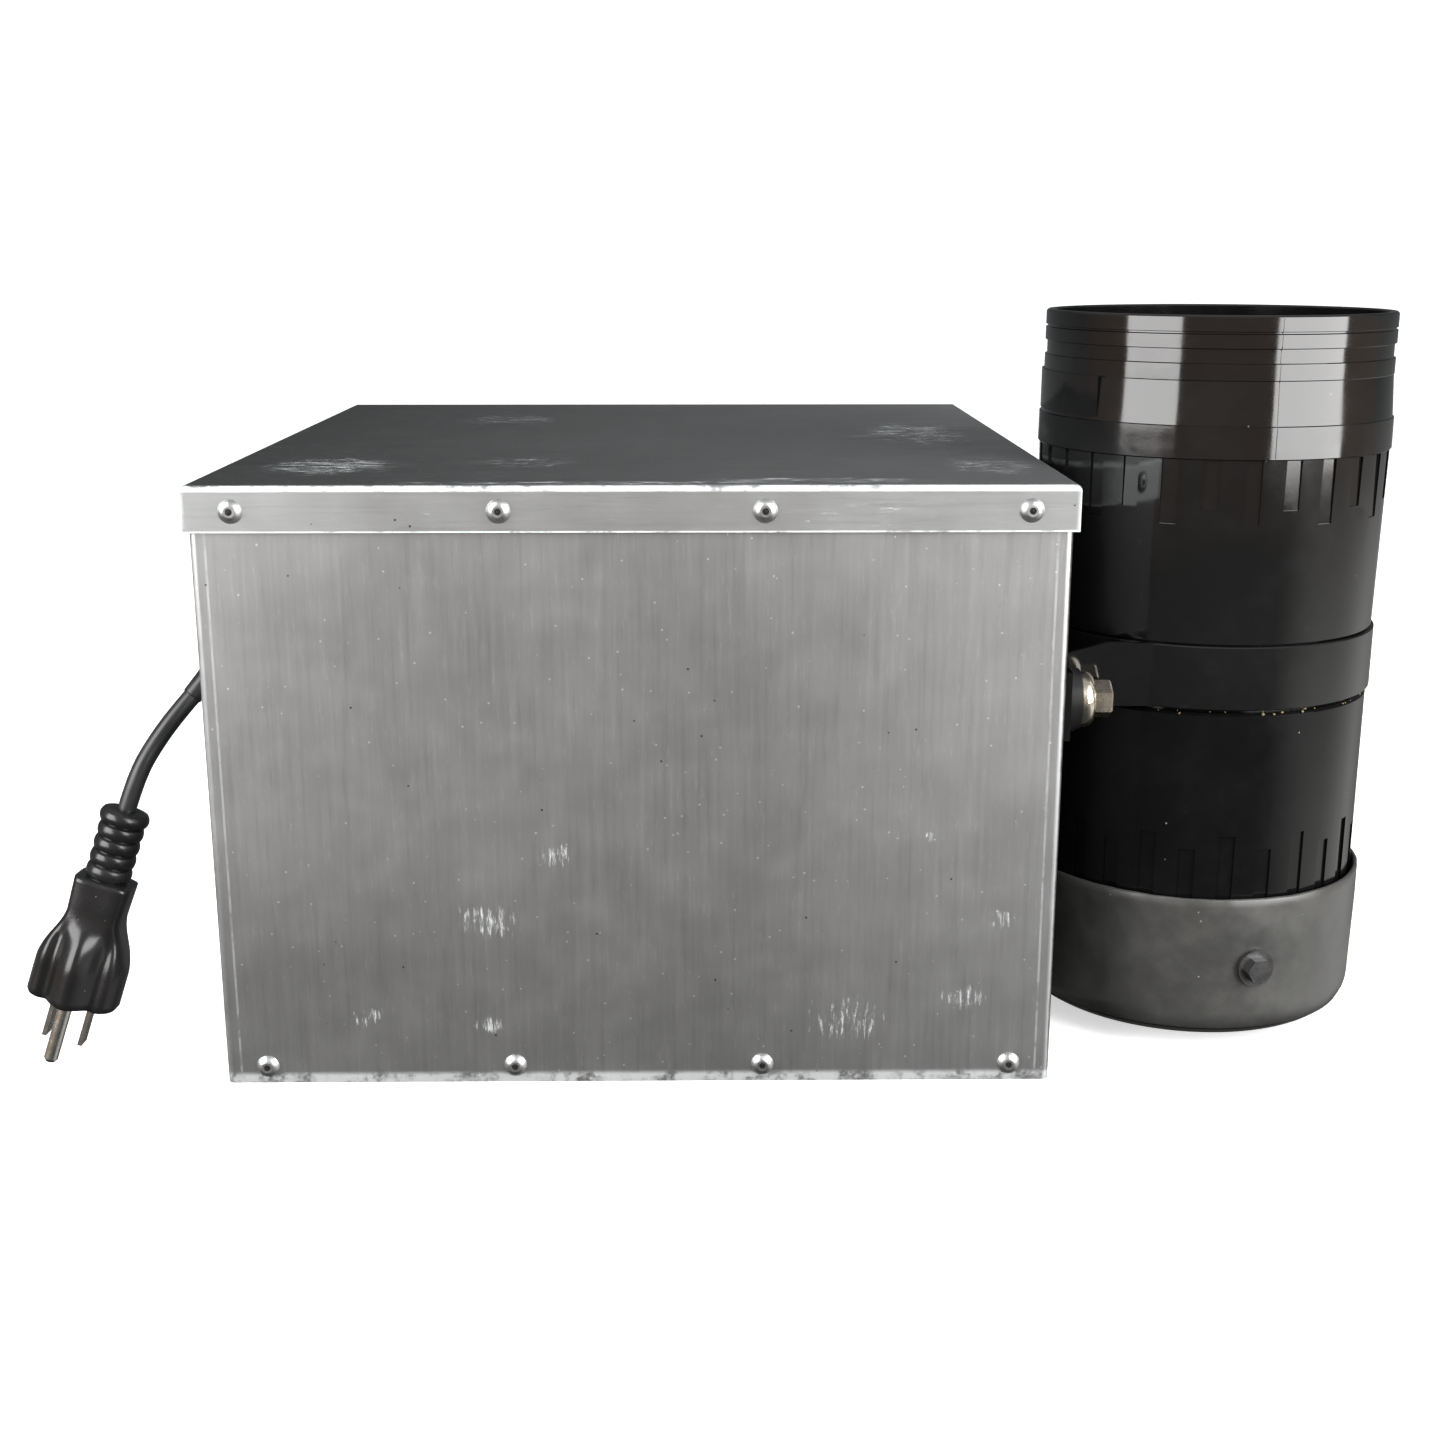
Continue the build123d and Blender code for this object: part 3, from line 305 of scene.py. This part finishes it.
# Centre, reach and strength of each rubbed patch
wall_rubs = [
    ((box_x - 0.049, front, 0.058), (0.019, 0.02, 0.011), 0.85),
    ((box_x - 0.026, front, 0.081), (0.009, 0.02, 0.008), 0.80),
    ((box_x + 0.070, front, 0.022), (0.024, 0.02, 0.016), 0.75),
    ((box_x + 0.122, front, 0.058), (0.012, 0.02, 0.007), 0.80),
    ((box_x + 0.097, front, 0.086), (0.011, 0.02, 0.005), 0.75),
    ((box_x + 0.110, front, 0.030), (0.016, 0.02, 0.007), 0.75),
    ((box_x - 0.051, front, 0.021), (0.010, 0.02, 0.006), 0.80),
    ((box_x - 0.092, front, 0.024), (0.012, 0.02, 0.006), 0.80),
    ((box_x + 0.050, front, 0.125), (0.006, 0.02, 0.009), 0.60),
    ((box_x + 0.010, front, 0.170), (0.060, 0.02, 0.020), 0.30),
    ((wall_low.x, 0.05, 0.09), (0.02, 0.05, 0.03), 0.6),
    ((wall_high.x, 0.08, 0.05), (0.02, 0.05, 0.03), 0.6),
    ((box_x + 0.05, wall_high.y, 0.08), (0.06, 0.02, 0.03), 0.6),
]
lid_rubs = [
    ((box_x - 0.105, front + 0.050, lid_high.z), (0.040, 0.045, 0.02), 0.85),
    ((box_x - 0.040, front + 0.060, lid_high.z), (0.035, 0.030, 0.02), 0.65),
    ((box_x - 0.060, front + 0.220, lid_high.z), (0.040, 0.040, 0.02), 0.65),
    ((box_x + 0.105, front + 0.160, lid_high.z), (0.045, 0.080, 0.02), 0.70),
    ((box_x + 0.120, front + 0.050, lid_high.z), (0.030, 0.050, 0.02), 0.65),
    ((box_x, front + 0.004, lid_high.z), (0.150, 0.007, 0.006), 0.80),
    ((box_x + 0.060, front + 0.010, lid_high.z), (0.070, 0.014, 0.006), 0.75),
    ((box_x - 0.060, lid_low.y, lid_low.z + 0.005), (0.040, 0.004, 0.008), 0.45),
    ((box_x + 0.070, lid_low.y, lid_low.z + 0.006), (0.050, 0.004, 0.009), 0.55),
]
wall_fold_wear_and_highlights = [
    ("x", wall_low.x + fold_inset, 0.0005, 0.30),
    ("x", wall_high.x - fold_inset, 0.0005, 0.30),
    ("x", wall_low.x + 0.0004, 0.0010, 0.30),
    ("x", wall_high.x - 0.0004, 0.0010, 0.25),
    # Painted highlight: a pale band along the wall's bottom hem, where a reflection falls
    ("z", 0.0, 0.0044, 0.75),
]
lid_fold_wear_and_highlights = [
    # Painted highlight: a pale line along the lid's top bend
    ("z", lid_high.z - 0.0010, 0.0013, 0.9),
    ("x", lid_low.x, 0.0016, 0.35),
    ("x", lid_high.x, 0.0016, 0.35),
    ("z", lid_low.z, 0.0007, 0.8),
]

finishes = {
    "galvanised": galvanised("galvanised_wall", zinc_tone, zinc_dark, wall_rubs, upright, wall_fold_wear_and_highlights,
                             painted_shade_x=wall_high.x),
    # The lid's top faces take a painted shade
    "galvanised_lid": galvanised("galvanised_lid", lid_tone, lid_dark, lid_rubs, crosswise, lid_fold_wear_and_highlights,
                                 rough=0.33, grazing=0.14, top_unshaded_share=0.75,
                                 wave=0.01, pale_metal=0.25),
    "rivet_metal": plated("rivet_aluminium", (0.50, 0.51, 0.51), 0.36, 0.50, grime=0.35),
    # Near black: painted shade in the rivet hollows, carried by the mandrel ends
    "shaded_mandrel": plated("mandrel_stub", (0.05, 0.048, 0.045), 0.5, 0.7),
    "crumb": moulding("dry_crumbs", (0.20, 0.155, 0.08), 0.7, 0.9, grain=0.3),
    "housing_plastic": moulding("gloss_black_moulding", (0.0035, 0.0035, 0.0036), 0.06, 0.13,
                                dust=0.35, ripple=0.06, grain=0.01, ior=1.6),
    "lower_plastic": moulding("worn_black_moulding", (0.0030, 0.0030, 0.0031), 0.10, 0.20,
                              dust=0.4, ripple=0.08, grain=0.015, ior=1.36),
    "cap_rubber": moulding("satin_black_elastomer", (0.040, 0.040, 0.038), 0.30, 0.46,
                           dust=0.5, ripple=0.35, grain=0.05, cloud_scale=40, ior=1.6),
    "cord_rubber": moulding("cord_jacket", (0.016, 0.016, 0.017), 0.30, 0.42, dust=0.2, grain=0.05),
    "plug_rubber": moulding("plug_vinyl", (0.008, 0.008, 0.0083), 0.20, 0.32, dust=0.25, grain=0.08),
    "pin_metal": plated("pin_nickel", (0.80, 0.78, 0.72), 0.14, 0.28, grime=0.2),
    "bolt_nickel": plated("bolt_warm_nickel", (0.72, 0.66, 0.55), 0.18, 0.34, grime=0.5),
    "black_steel": plated("black_oxide_steel", (0.17, 0.17, 0.172), 0.32, 0.45, grime=0.3),
    "black_nylon": moulding("black_nylon", (0.012, 0.012, 0.012), 0.30, 0.42, dust=0.3, grain=0.05),
    "zinc": plated("zinc_plate", (0.62, 0.62, 0.60), 0.30, 0.42),
    "ballast_case": moulding("enamelled_can", (0.07, 0.07, 0.075), 0.28, 0.40, dust=0.2, ripple=0.1),
    "terminal_plastic": moulding("ivory_moulding", (0.72, 0.68, 0.56), 0.35, 0.5, grain=0.03),
    "brass": plated("plain_brass", (0.78, 0.58, 0.28), 0.24, 0.38),
    "wire_vinyl": moulding("wire_vinyl", (0.05, 0.05, 0.05), 0.35, 0.45, grain=0.03),
    "holder_plastic": moulding("off_white_moulding", (0.70, 0.68, 0.62), 0.32, 0.45, grain=0.03),
    "quartz": clear_glass("clear_quartz", (0.95, 0.97, 0.98), 0.02),
    "lamp_glass": clear_glass("lamp_glass", (0.88, 0.92, 0.99), 0.05),
    "seal_rubber": moulding("red_silicone", (0.20, 0.03, 0.025), 0.40, 0.5, grain=0.04),
}
own_finish = {"lid": "galvanised_lid", "lower_housing": "lower_plastic"}
for part in frame["record"]["subparts"]:
    node = part["node"]
    finish = finishes[own_finish.get(node, part["material_slot"])]
    nodes[node].data.materials.clear()
    nodes[node].data.materials.append(finish)


# ---- Mesh helpers --------------------------------------------------------------------------------
def piece(name, mesh, finish, body="clarifier", smooth=True):
    """A mesh as an object that rides on a body and takes its finish from the finishes table."""
    made = bpy.data.objects.new(name, mesh)
    bpy.context.scene.collection.objects.link(made)
    mesh.materials.append(finishes[finish])
    for face in mesh.polygons:
        face.use_smooth = smooth
    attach(made, body)
    return made


def finished(work, name):
    """A working mesh as a kept one, with its faces turned outward."""
    bmesh.ops.recalc_face_normals(work, faces=work.faces)
    mesh = bpy.data.meshes.new(name)
    work.to_mesh(mesh)
    work.free()
    return mesh


def skin(rings):
    """A closed mesh through rings of points that all have the same count."""
    work = bmesh.new()
    made = [[work.verts.new(point) for point in ring] for ring in rings]
    count = len(rings[0])
    for low, high in zip(made, made[1:]):
        for step in range(count):
            after = (step + 1) % count
            work.faces.new((low[step], low[after], high[after], high[step]))
    for ring, turn_over in ((made[0], True), (made[-1], False)):
        middle = work.verts.new(sum((vert.co for vert in ring), Vector()) / count)
        for step in range(count):
            after = (step + 1) % count
            pair = (ring[after], ring[step]) if turn_over else (ring[step], ring[after])
            work.faces.new((*pair, middle))
    return finished(work, "skin")


# ---- Mains lead ----------------------------------------------------------------------------------
# The route's points, from the wall's gland to the plug's strain relief.
cord_diameter = 0.0063
cord_points = [
    (box_x - 0.1489, front + 0.0459, 0.1309),
    (box_x - 0.1574, front + 0.0402, 0.1215),
    (box_x - 0.1656, front + 0.0358, 0.1108),
    (box_x - 0.1720, front + 0.0312, 0.0997),
    (box_x - 0.1761, front + 0.0300, 0.0874),
]
relief_top = Vector(cord_points[-1])
plug_foot = Vector((box_x - 0.2045, front + 0.0215, 0.0019))
plug_axis = (plug_foot - relief_top).normalized()
forward = Vector((0, -1, 0))
plug_front = (forward - plug_axis * plug_axis.dot(forward)).normalized()
plug_side = plug_axis.cross(plug_front)

cord_curve = bpy.data.curves.new("mains_cord", "CURVE")
cord_curve.dimensions = "3D"
cord_curve.bevel_depth = cord_diameter / 2
cord_curve.bevel_resolution = 8
cord_curve.resolution_u = 24
cord_curve.use_fill_caps = True
spline = cord_curve.splines.new("NURBS")
spline.points.add(len(cord_points) - 1)
for control, point in zip(spline.points, cord_points):
    control.co = (*point, 1.0)
spline.order_u = 3
spline.use_endpoint_u = True
mains_cord = bpy.data.objects.new("mains_cord", cord_curve)
bpy.context.scene.collection.objects.link(mains_cord)
cord_curve.materials.append(finishes["cord_rubber"])
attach(mains_cord, "clarifier")
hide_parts("power_cord")


def plug_point(along, side=0.0, ahead=0.0):
    """A point of the plug, from the top of its strain relief."""
    return relief_top + plug_axis * along + plug_side * side + plug_front * ahead


relief_length = 0.025
body_length = 0.045
plug_length = relief_length + body_length
ring_steps = 64


def relief_ring(along, radius):
    return [plug_point(along, radius * math.cos(turn), radius * math.sin(turn))
            for turn in (2 * math.pi * step / ring_steps for step in range(ring_steps))]


def make_relief():
    """Five rounded ribs, the first one fuller, with grooves between."""
    rib_count = 5
    pitch = relief_length / rib_count
    core = 0.0066
    rib = 0.0078
    rings = [relief_ring(-0.0006, 0.0034), relief_ring(-0.0008, 0.0050)]
    for number in range(rib_count):
        full = rib + 0.0006 if number == 0 else rib
        start = number * pitch
        crown = pitch * 0.86
        for step in range(7):
            share = step / 6
            swell = math.sin(math.pi * (0.10 + 0.80 * share)) ** 0.5
            rings.append(relief_ring(start + crown * share, core + (full - core) * swell))
        rings.append(relief_ring(start + crown + 0.0001, core - 0.0002))
        rings.append(relief_ring(start + pitch - 0.0001, core - 0.0002))
    rings.append(relief_ring(relief_length + 0.001, core))
    return skin(rings)


plug_relief = piece("plug_relief", make_relief(), "plug_rubber")


def plug_body_ring(along):
    """One section of the moulded plug: a rounded block at the neck that flares to scalloped grips."""
    share = (along - relief_length) / body_length
    waist = max(0.0, 1 - abs(share - 0.27) / 0.25)
    flare = min(1.0, max(0.0, (share - 0.27) / 0.45))
    flare = flare * flare * (3 - 2 * flare)
    half_width = 0.0098 - 0.0005 * waist + 0.0058 * flare
    half_depth = 0.0086 + 0.0038 * flare
    squareness = 5.0 - 2.4 * flare
    dome_share = max(0.0, min(1.0, (share - 0.30) / 0.22))
    dome_share = dome_share * dome_share * (3 - 2 * dome_share)
    ring = []
    for step in range(ring_steps * 2):
        turn = math.pi * step / ring_steps
        across, ahead = math.cos(turn), math.sin(turn)
        size = (abs(across) ** squareness + abs(ahead) ** squareness) ** (-1 / squareness)
        side = half_width * across * size
        out = half_depth * ahead * size
        # Front face: a raised middle with a flute on each side of it
        middle = math.exp(-(side / 0.0042) ** 2)
        flute = math.exp(-((abs(side) - 0.0082) / 0.0026) ** 2)
        facing = max(0.0, ahead) ** 0.7
        rear = max(0.0, -ahead) ** 0.7
        out += dome_share * facing * (0.0030 * middle - 0.0028 * flute)
        out += dome_share * rear * 0.0012 * flute
        ring.append(plug_point(along, side, out))
    return ring


def make_plug_body():
    lengths = [0.0, 0.0004, 0.0016, 0.003]
    lengths += [0.003 + (body_length - 0.0045) * step / 26 for step in range(1, 27)]
    rings = []
    for length in lengths:
        rings.append(plug_body_ring(relief_length + length))
    # Round the shoulder and draw the end in
    shoulder = [plug_point(relief_length) + (point - plug_point(relief_length)) * 0.90
                for point in rings[0]]
    rings[0] = shoulder
    face = plug_point(plug_length)
    last = rings[-1]
    for inset, advance in ((0.97, 0.0009), (0.90, 0.0014), (0.78, 0.0015)):
        rings.append([face - plug_axis * 0.0015 + (point - plug_point(plug_length - 0.0015)) * inset
                      + plug_axis * advance for point in last])
    return skin(rings)


plug_body = piece("plug_moulding", make_plug_body(), "plug_rubber")
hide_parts("plug_body")


# ---- Gland with its tapered strain relief ----------------------------------------------------------
def make_gland():
    """A round nut against the wall, then a boot that tapers along the cord's first stretch."""
    hub = Vector((wall_low.x, front + 0.050, 0.1385))
    out = Vector((-1, 0, 0))
    tip = Vector(cord_points[0])
    beyond = tip + (Vector(cord_points[1]) - tip) * 0.60
    path = [hub, hub + out * 0.0012, hub + out * 0.0034, hub + out * 0.0044, hub + out * 0.0046,
            hub.lerp(tip, 0.62), hub.lerp(tip, 0.82), tip, tip.lerp(beyond, 0.5), beyond,
            beyond + (beyond - tip).normalized() * 0.0006]
    radii = [0.0112, 0.0118, 0.0118, 0.0108, 0.0060, 0.0053, 0.0048, 0.0042, 0.0038, 0.0035, 0.0033]
    rings = []
    for number, (point, radius) in enumerate(zip(path, radii)):
        before = path[max(0, number - 1)]
        after = path[min(len(path) - 1, number + 1)]
        along = out if number < 5 else (after - before).normalized()
        across = along.cross(Vector((0, 0, 1))).normalized()
        up = across.cross(along)
        rings.append([point + across * radius * math.cos(turn) + up * radius * math.sin(turn)
                      for turn in (2 * math.pi * step / 48 for step in range(48))])
    return skin(rings)


cord_boot = piece("cord_boot", make_gland(), "black_nylon")
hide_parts("cord_gland")


# ---- End cap -------------------------------------------------------------------------------------
def make_end_cap():
    """A soft cup with a slightly uneven lip, drawn in under its two screws."""
    steps = 224
    radius = cap_high.x - house_x
    corner = 0.011
    lip_top = cap_high.z
    base = cap_low.z
    profile = [(0.0, base), (radius * 0.5, base)]
    profile += [(radius - 0.0008 - corner + corner * math.sin(bend),
                 base + corner - corner * math.cos(bend))
                for bend in (math.pi / 2 * step / 10 for step in range(11))]
    side_count = 16
    side_start = base + corner
    profile += [(radius - 0.0008 + 0.0008 * step / side_count,
                 side_start + (lip_top - 0.0006 - side_start) * step / side_count)
                for step in range(1, side_count + 1)]
    profile += [(radius - 0.0003, lip_top - 0.0001), (radius - 0.0009, lip_top),
                (radius - 0.0014, lip_top - 0.0003), (radius - 0.0016, lip_top - 0.0012),
                (radius - 0.0017, lip_top - 0.017), (radius - 0.0029, lip_top - 0.021)]
    screw_low, screw_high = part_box("cap_screws")
    screw_z = (screw_low.z + screw_high.z) / 2
    screw_turn = math.radians(-80)
    rings = []
    for out, height in profile:
        ring = []
        for step in range(steps):
            turn = 2 * math.pi * step / steps
            near_lip = max(0.0, 1 - (lip_top - height) / 0.012)
            wave = noise.noise((math.cos(turn) * 2.2, math.sin(turn) * 2.2, 3.0))
            ripple = noise.noise((math.cos(turn) * 9, math.sin(turn) * 9, 7.0))
            swell = near_lip * (0.00045 * wave + 0.00018 * ripple)
            if out > radius - 0.004:
                swell -= 0.0004 * max(0.0, near_lip)
            sag = near_lip * (0.0006 * wave + 0.0002 * ripple)
            for direction in (screw_turn, screw_turn + math.pi):
                gap = Vector(((turn - direction + math.pi) % (2 * math.pi) - math.pi, 0)).x * radius
                away = math.hypot(gap, height - screw_z)
                if out > radius - 0.0009 and near_lip == 0:
                    swell -= 0.0006 * math.exp(-(away / 0.0105) ** 2)
            ring.append(Vector((house_x + (out + swell) * math.cos(turn),
                                house_y + (out + swell) * math.sin(turn), height + sag)))
        rings.append(ring)
    return skin(rings)


end_cap = piece("soft_end_cap", make_end_cap(), "cap_rubber")
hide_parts("end_cap")


# ---- Mould seams on the housing --------------------------------------------------------------------
def wall_tree(node):
    mesh = nodes[node].data
    return BVHTree.FromPolygons([v.co for v in mesh.vertices], [p.vertices for p in mesh.polygons])


def make_seam(node, turn, low, high, half_width=0.00022, height=0.00012, steps=120):
    """A fine raised flash line that follows the housing's own outline."""
    tree = wall_tree(node)
    radial = Vector((math.cos(turn), math.sin(turn), 0))
    across = Vector((-radial.y, radial.x, 0))
    work = bmesh.new()
    rows = []
    for step in range(steps + 1):
        z = low + (high - low) * step / steps
        start = Vector((house_x, house_y, z)) + radial * 0.08
        hit = tree.ray_cast(start, -radial, 0.03)[0]
        if hit is None:
            continue
        rows.append([work.verts.new(hit + across * half_width * side + radial * out)
                     for side, out in ((-1, -0.0001), (-0.4, height), (0.4, height), (1, -0.0001))])
    for low_row, high_row in zip(rows, rows[1:]):
        for column in range(3):
            work.faces.new((low_row[column], low_row[column + 1], high_row[column + 1], high_row[column]))
    return finished(work, "seam")


seam_turn = math.radians(-85.5)
piece("collar_seam", make_seam("housing_collar", seam_turn, collar_low.z + 0.0006, collar_high.z - 0.0008),
      "housing_plastic")


# ---- Small details ---------------------------------------------------------------------------------
def make_stubs():
    """The broken mandrel end inside every rivet's hollow, near black as a painted shade of the hollow."""
    work = bmesh.new()
    radius = 0.00105
    crown = 0.0017
    sunk = 0.0005
    step_x = 0.0838
    step_y = 0.0897
    lid_out = 0.0016
    base_rivet_z = 0.0060
    lid_rivet_z = lid_high.z - 0.0082
    corners = 20
    places = []
    for step in (-1.5, -0.5, 0.5, 1.5):
        for height, outward in ((base_rivet_z, 0.0), (lid_rivet_z, lid_out)):
            reach = outward + crown - sunk
            places.append((Vector((box_x + step * step_x, front - reach, height)), Vector((0, -1, 0))))
            places.append((Vector((box_x + step * step_x, -front + reach, height)), Vector((0, 1, 0))))
            places.append((Vector((wall_low.x - reach, step * step_y, height)), Vector((-1, 0, 0))))
            places.append((Vector((wall_high.x + reach, step * step_y, height)), Vector((1, 0, 0))))
    for centre, outward in places:
        across = Vector((-outward.y, outward.x, 0))
        ring = []
        for step in range(corners):
            turn = 2 * math.pi * step / corners
            arm = across * math.cos(turn) + Vector((0, 0, 1)) * math.sin(turn)
            ring.append(work.verts.new(centre + arm * radius))
        middle = work.verts.new(centre + outward * 0.0002)
        for step in range(corners):
            work.faces.new((ring[step], ring[(step + 1) % corners], middle))
    return finished(work, "stubs")


def make_crumbs(count=26):
    """Dry crumbs caught under the strap's lower edge."""
    draw = random.Random(7)
    work = bmesh.new()
    gap_radius = 0.0590
    gap_top = 0.1240
    for _ in range(count):
        turn = math.radians(draw.uniform(-165, -15))
        size = draw.uniform(0.00025, 0.0008)
        centre = Vector((house_x + gap_radius * math.cos(turn), house_y + gap_radius * math.sin(turn),
                         gap_top - draw.uniform(0.0, 0.0012)))
        tips = []
        for axis in (Vector((1, 0, 0)), Vector((0, 1, 0)), Vector((0, 0, 1))):
            for side in (1, -1):
                tips.append(work.verts.new(centre + axis * side * size * draw.uniform(0.5, 1.0)))
        for first in (0, 1):
            for second in (2, 3):
                for third in (4, 5):
                    work.faces.new((tips[first], tips[second], tips[third]))
    return finished(work, "crumbs")


piece("shaded_mandrel_stubs", make_stubs(), "shaded_mandrel", smooth=False)
piece("strap_crumbs", make_crumbs(), "crumb", smooth=False)


# ---- Studio ----------------------------------------------------------------------------------------
stage_tone = 0.93


def make_stage():
    """A round pale floor that curves up into a far wall."""
    floor_radius = 2.2
    cove = 1.0
    wall_height = 5.0
    steps = 96
    profile = [(0.3, 0.0), (floor_radius, 0.0)]
    profile += [(floor_radius + cove * math.sin(bend), cove - cove * math.cos(bend))
                for bend in (math.pi / 2 * step / 8 for step in range(1, 9))]
    profile += [(floor_radius + cove, wall_height), (0.6, wall_height + 1.5)]
    rings = [[Vector((out * math.cos(turn), out * math.sin(turn), height - 0.0002))
              for turn in (2 * math.pi * step / steps for step in range(steps))]
             for out, height in profile]
    return skin(rings)


def stage_finish():
    s = Shader("pale_stage", Roughness=0.9)
    s.feed("Base Color", s.mix(s.noise(3, 2, 0.5), stage_tone, stage_tone - 0.01))
    s.principled.inputs["Emission Color"].default_value = (1, 1, 1, 1)
    s.principled.inputs["Emission Strength"].default_value = 0.55
    return s.material


stage_mesh = make_stage()
stage = bpy.data.objects.new("stage", stage_mesh)
bpy.context.scene.collection.objects.link(stage)
stage_mesh.materials.append(stage_finish())
for face in stage_mesh.polygons:
    face.use_smooth = True
stage.visible_glossy = False
stage.visible_diffuse = False
stage.visible_shadow = False
stage.visible_transmission = True


def soft_box(name, place, aim, width, height, watts, tint=(1, 1, 1)):
    """A rectangular soft light that faces a point."""
    data = bpy.data.lights.new(name, "AREA")
    data.shape = "RECTANGLE"
    data.size = width
    data.size_y = height
    data.energy = watts
    data.color = tint
    lamp = bpy.data.objects.new(name, data)
    bpy.context.scene.collection.objects.link(lamp)
    lamp.location = place
    lamp.rotation_euler = (Vector(aim) - Vector(place)).to_track_quat("-Z", "Y").to_euler()
    return lamp


def around(turn, distance, height):
    """A place at an angle round the housing, in degrees from +X."""
    return (house_x + distance * math.cos(math.radians(turn)),
            house_y + distance * math.sin(math.radians(turn)), height)


light_reach = 1.3
box_foot = 0.06
box_height = 1.40
box_middle = box_foot + box_height / 2
left_foot = 0.125
left_height = box_foot + box_height - left_foot
left_middle = left_foot + left_height / 2
soft_box("left_box", around(-146, light_reach, left_middle), (house_x, house_y, left_middle),
         0.86, left_height, 29)
soft_box("right_box", around(-43, light_reach, box_middle), (house_x, house_y, box_middle),
         1.20, box_height, 47)
top_box = soft_box("top_box", (0.0, -0.5, 1.9), (0, 0, 0), 1.2, 1.2, 16)
top_box.visible_glossy = False
rear_box = soft_box("rear_box", (0.2, 1.8, 1.3), (0, 0, 0.1), 1.2, 0.9, 10)
rear_box.visible_glossy = False


def make_world():
    """Soft surroundings: dark and warm behind the camera, dim low down behind the object, darker below."""
    world = bpy.data.worlds.new("surroundings")
    bpy.context.scene.world = world
    world.use_nodes = True
    tree = world.node_tree
    background = tree.nodes["Background"]
    place = tree.nodes.new("ShaderNodeTexCoord").outputs["Generated"]
    split = tree.nodes.new("ShaderNodeSeparateXYZ")
    tree.links.new(place, split.inputs[0])

    def span(value, low, high):
        made = tree.nodes.new("ShaderNodeMapRange")
        made.interpolation_type = "SMOOTHSTEP"
        tree.links.new(value, made.inputs[0])
        made.inputs[1].default_value = low
        made.inputs[2].default_value = high
        return made.outputs[0]

    def ramp(stops):
        """Tones against the sine of the elevation, from -1 to 1."""
        lift = tree.nodes.new("ShaderNodeMapRange")
        tree.links.new(split.outputs[2], lift.inputs[0])
        lift.inputs[1].default_value = -1.0
        lift.inputs[2].default_value = 1.0
        made = tree.nodes.new("ShaderNodeValToRGB")
        tree.links.new(lift.outputs[0], made.inputs[0])
        elements = made.color_ramp.elements
        while len(elements) < len(stops):
            elements.new(0.5)
        for element, (sine, tone) in zip(elements, stops):
            element.position = (sine + 1) / 2
            element.color = (*tone, 1)
        return made.outputs[0]

    ahead = ramp([(-1.0, (0.05, 0.05, 0.05)), (-0.45, (0.07, 0.07, 0.07)), (-0.20, (0.17, 0.165, 0.16)),
                  (-0.05, (0.36, 0.26, 0.20)), (0.2, (0.30, 0.29, 0.28)), (1.0, (0.5, 0.5, 0.5))])
    behind = ramp([(-1.0, (0.05, 0.05, 0.05)), (-0.45, (0.10, 0.10, 0.10)), (-0.16, (0.30, 0.30, 0.30)),
                   (0.0, (0.09, 0.095, 0.10)), (0.5, (0.09, 0.095, 0.10)), (1.0, (0.5, 0.5, 0.5))])
    mix = tree.nodes.new("ShaderNodeMix")
    mix.data_type = "RGBA"
    tree.links.new(span(split.outputs[1], -0.1, 0.5), mix.inputs[0])
    tree.links.new(ahead, mix.inputs[6])
    tree.links.new(behind, mix.inputs[7])
    glow = tree.nodes.new("ShaderNodeMix")
    glow.data_type = "RGBA"
    glow.blend_type = "ADD"
    tree.links.new(span(split.outputs[0], 0.55, 0.95), glow.inputs[0])
    tree.links.new(mix.outputs[2], glow.inputs[6])
    tree.links.new(ramp([(-1.0, (0.1, 0.1, 0.1)), (-0.6, (0.9, 0.9, 0.88)), (-0.3, (1.0, 1.0, 0.97)),
                         (-0.12, (0.10, 0.10, 0.09)), (0.0, (0.0, 0.0, 0.0)), (1.0, (0.0, 0.0, 0.0))]),
                   glow.inputs[7])
    tree.links.new(glow.outputs[2], background.inputs[0])
    background.inputs[1].default_value = 1.0


make_world()
bpy.context.scene.view_settings.view_transform = "Standard"
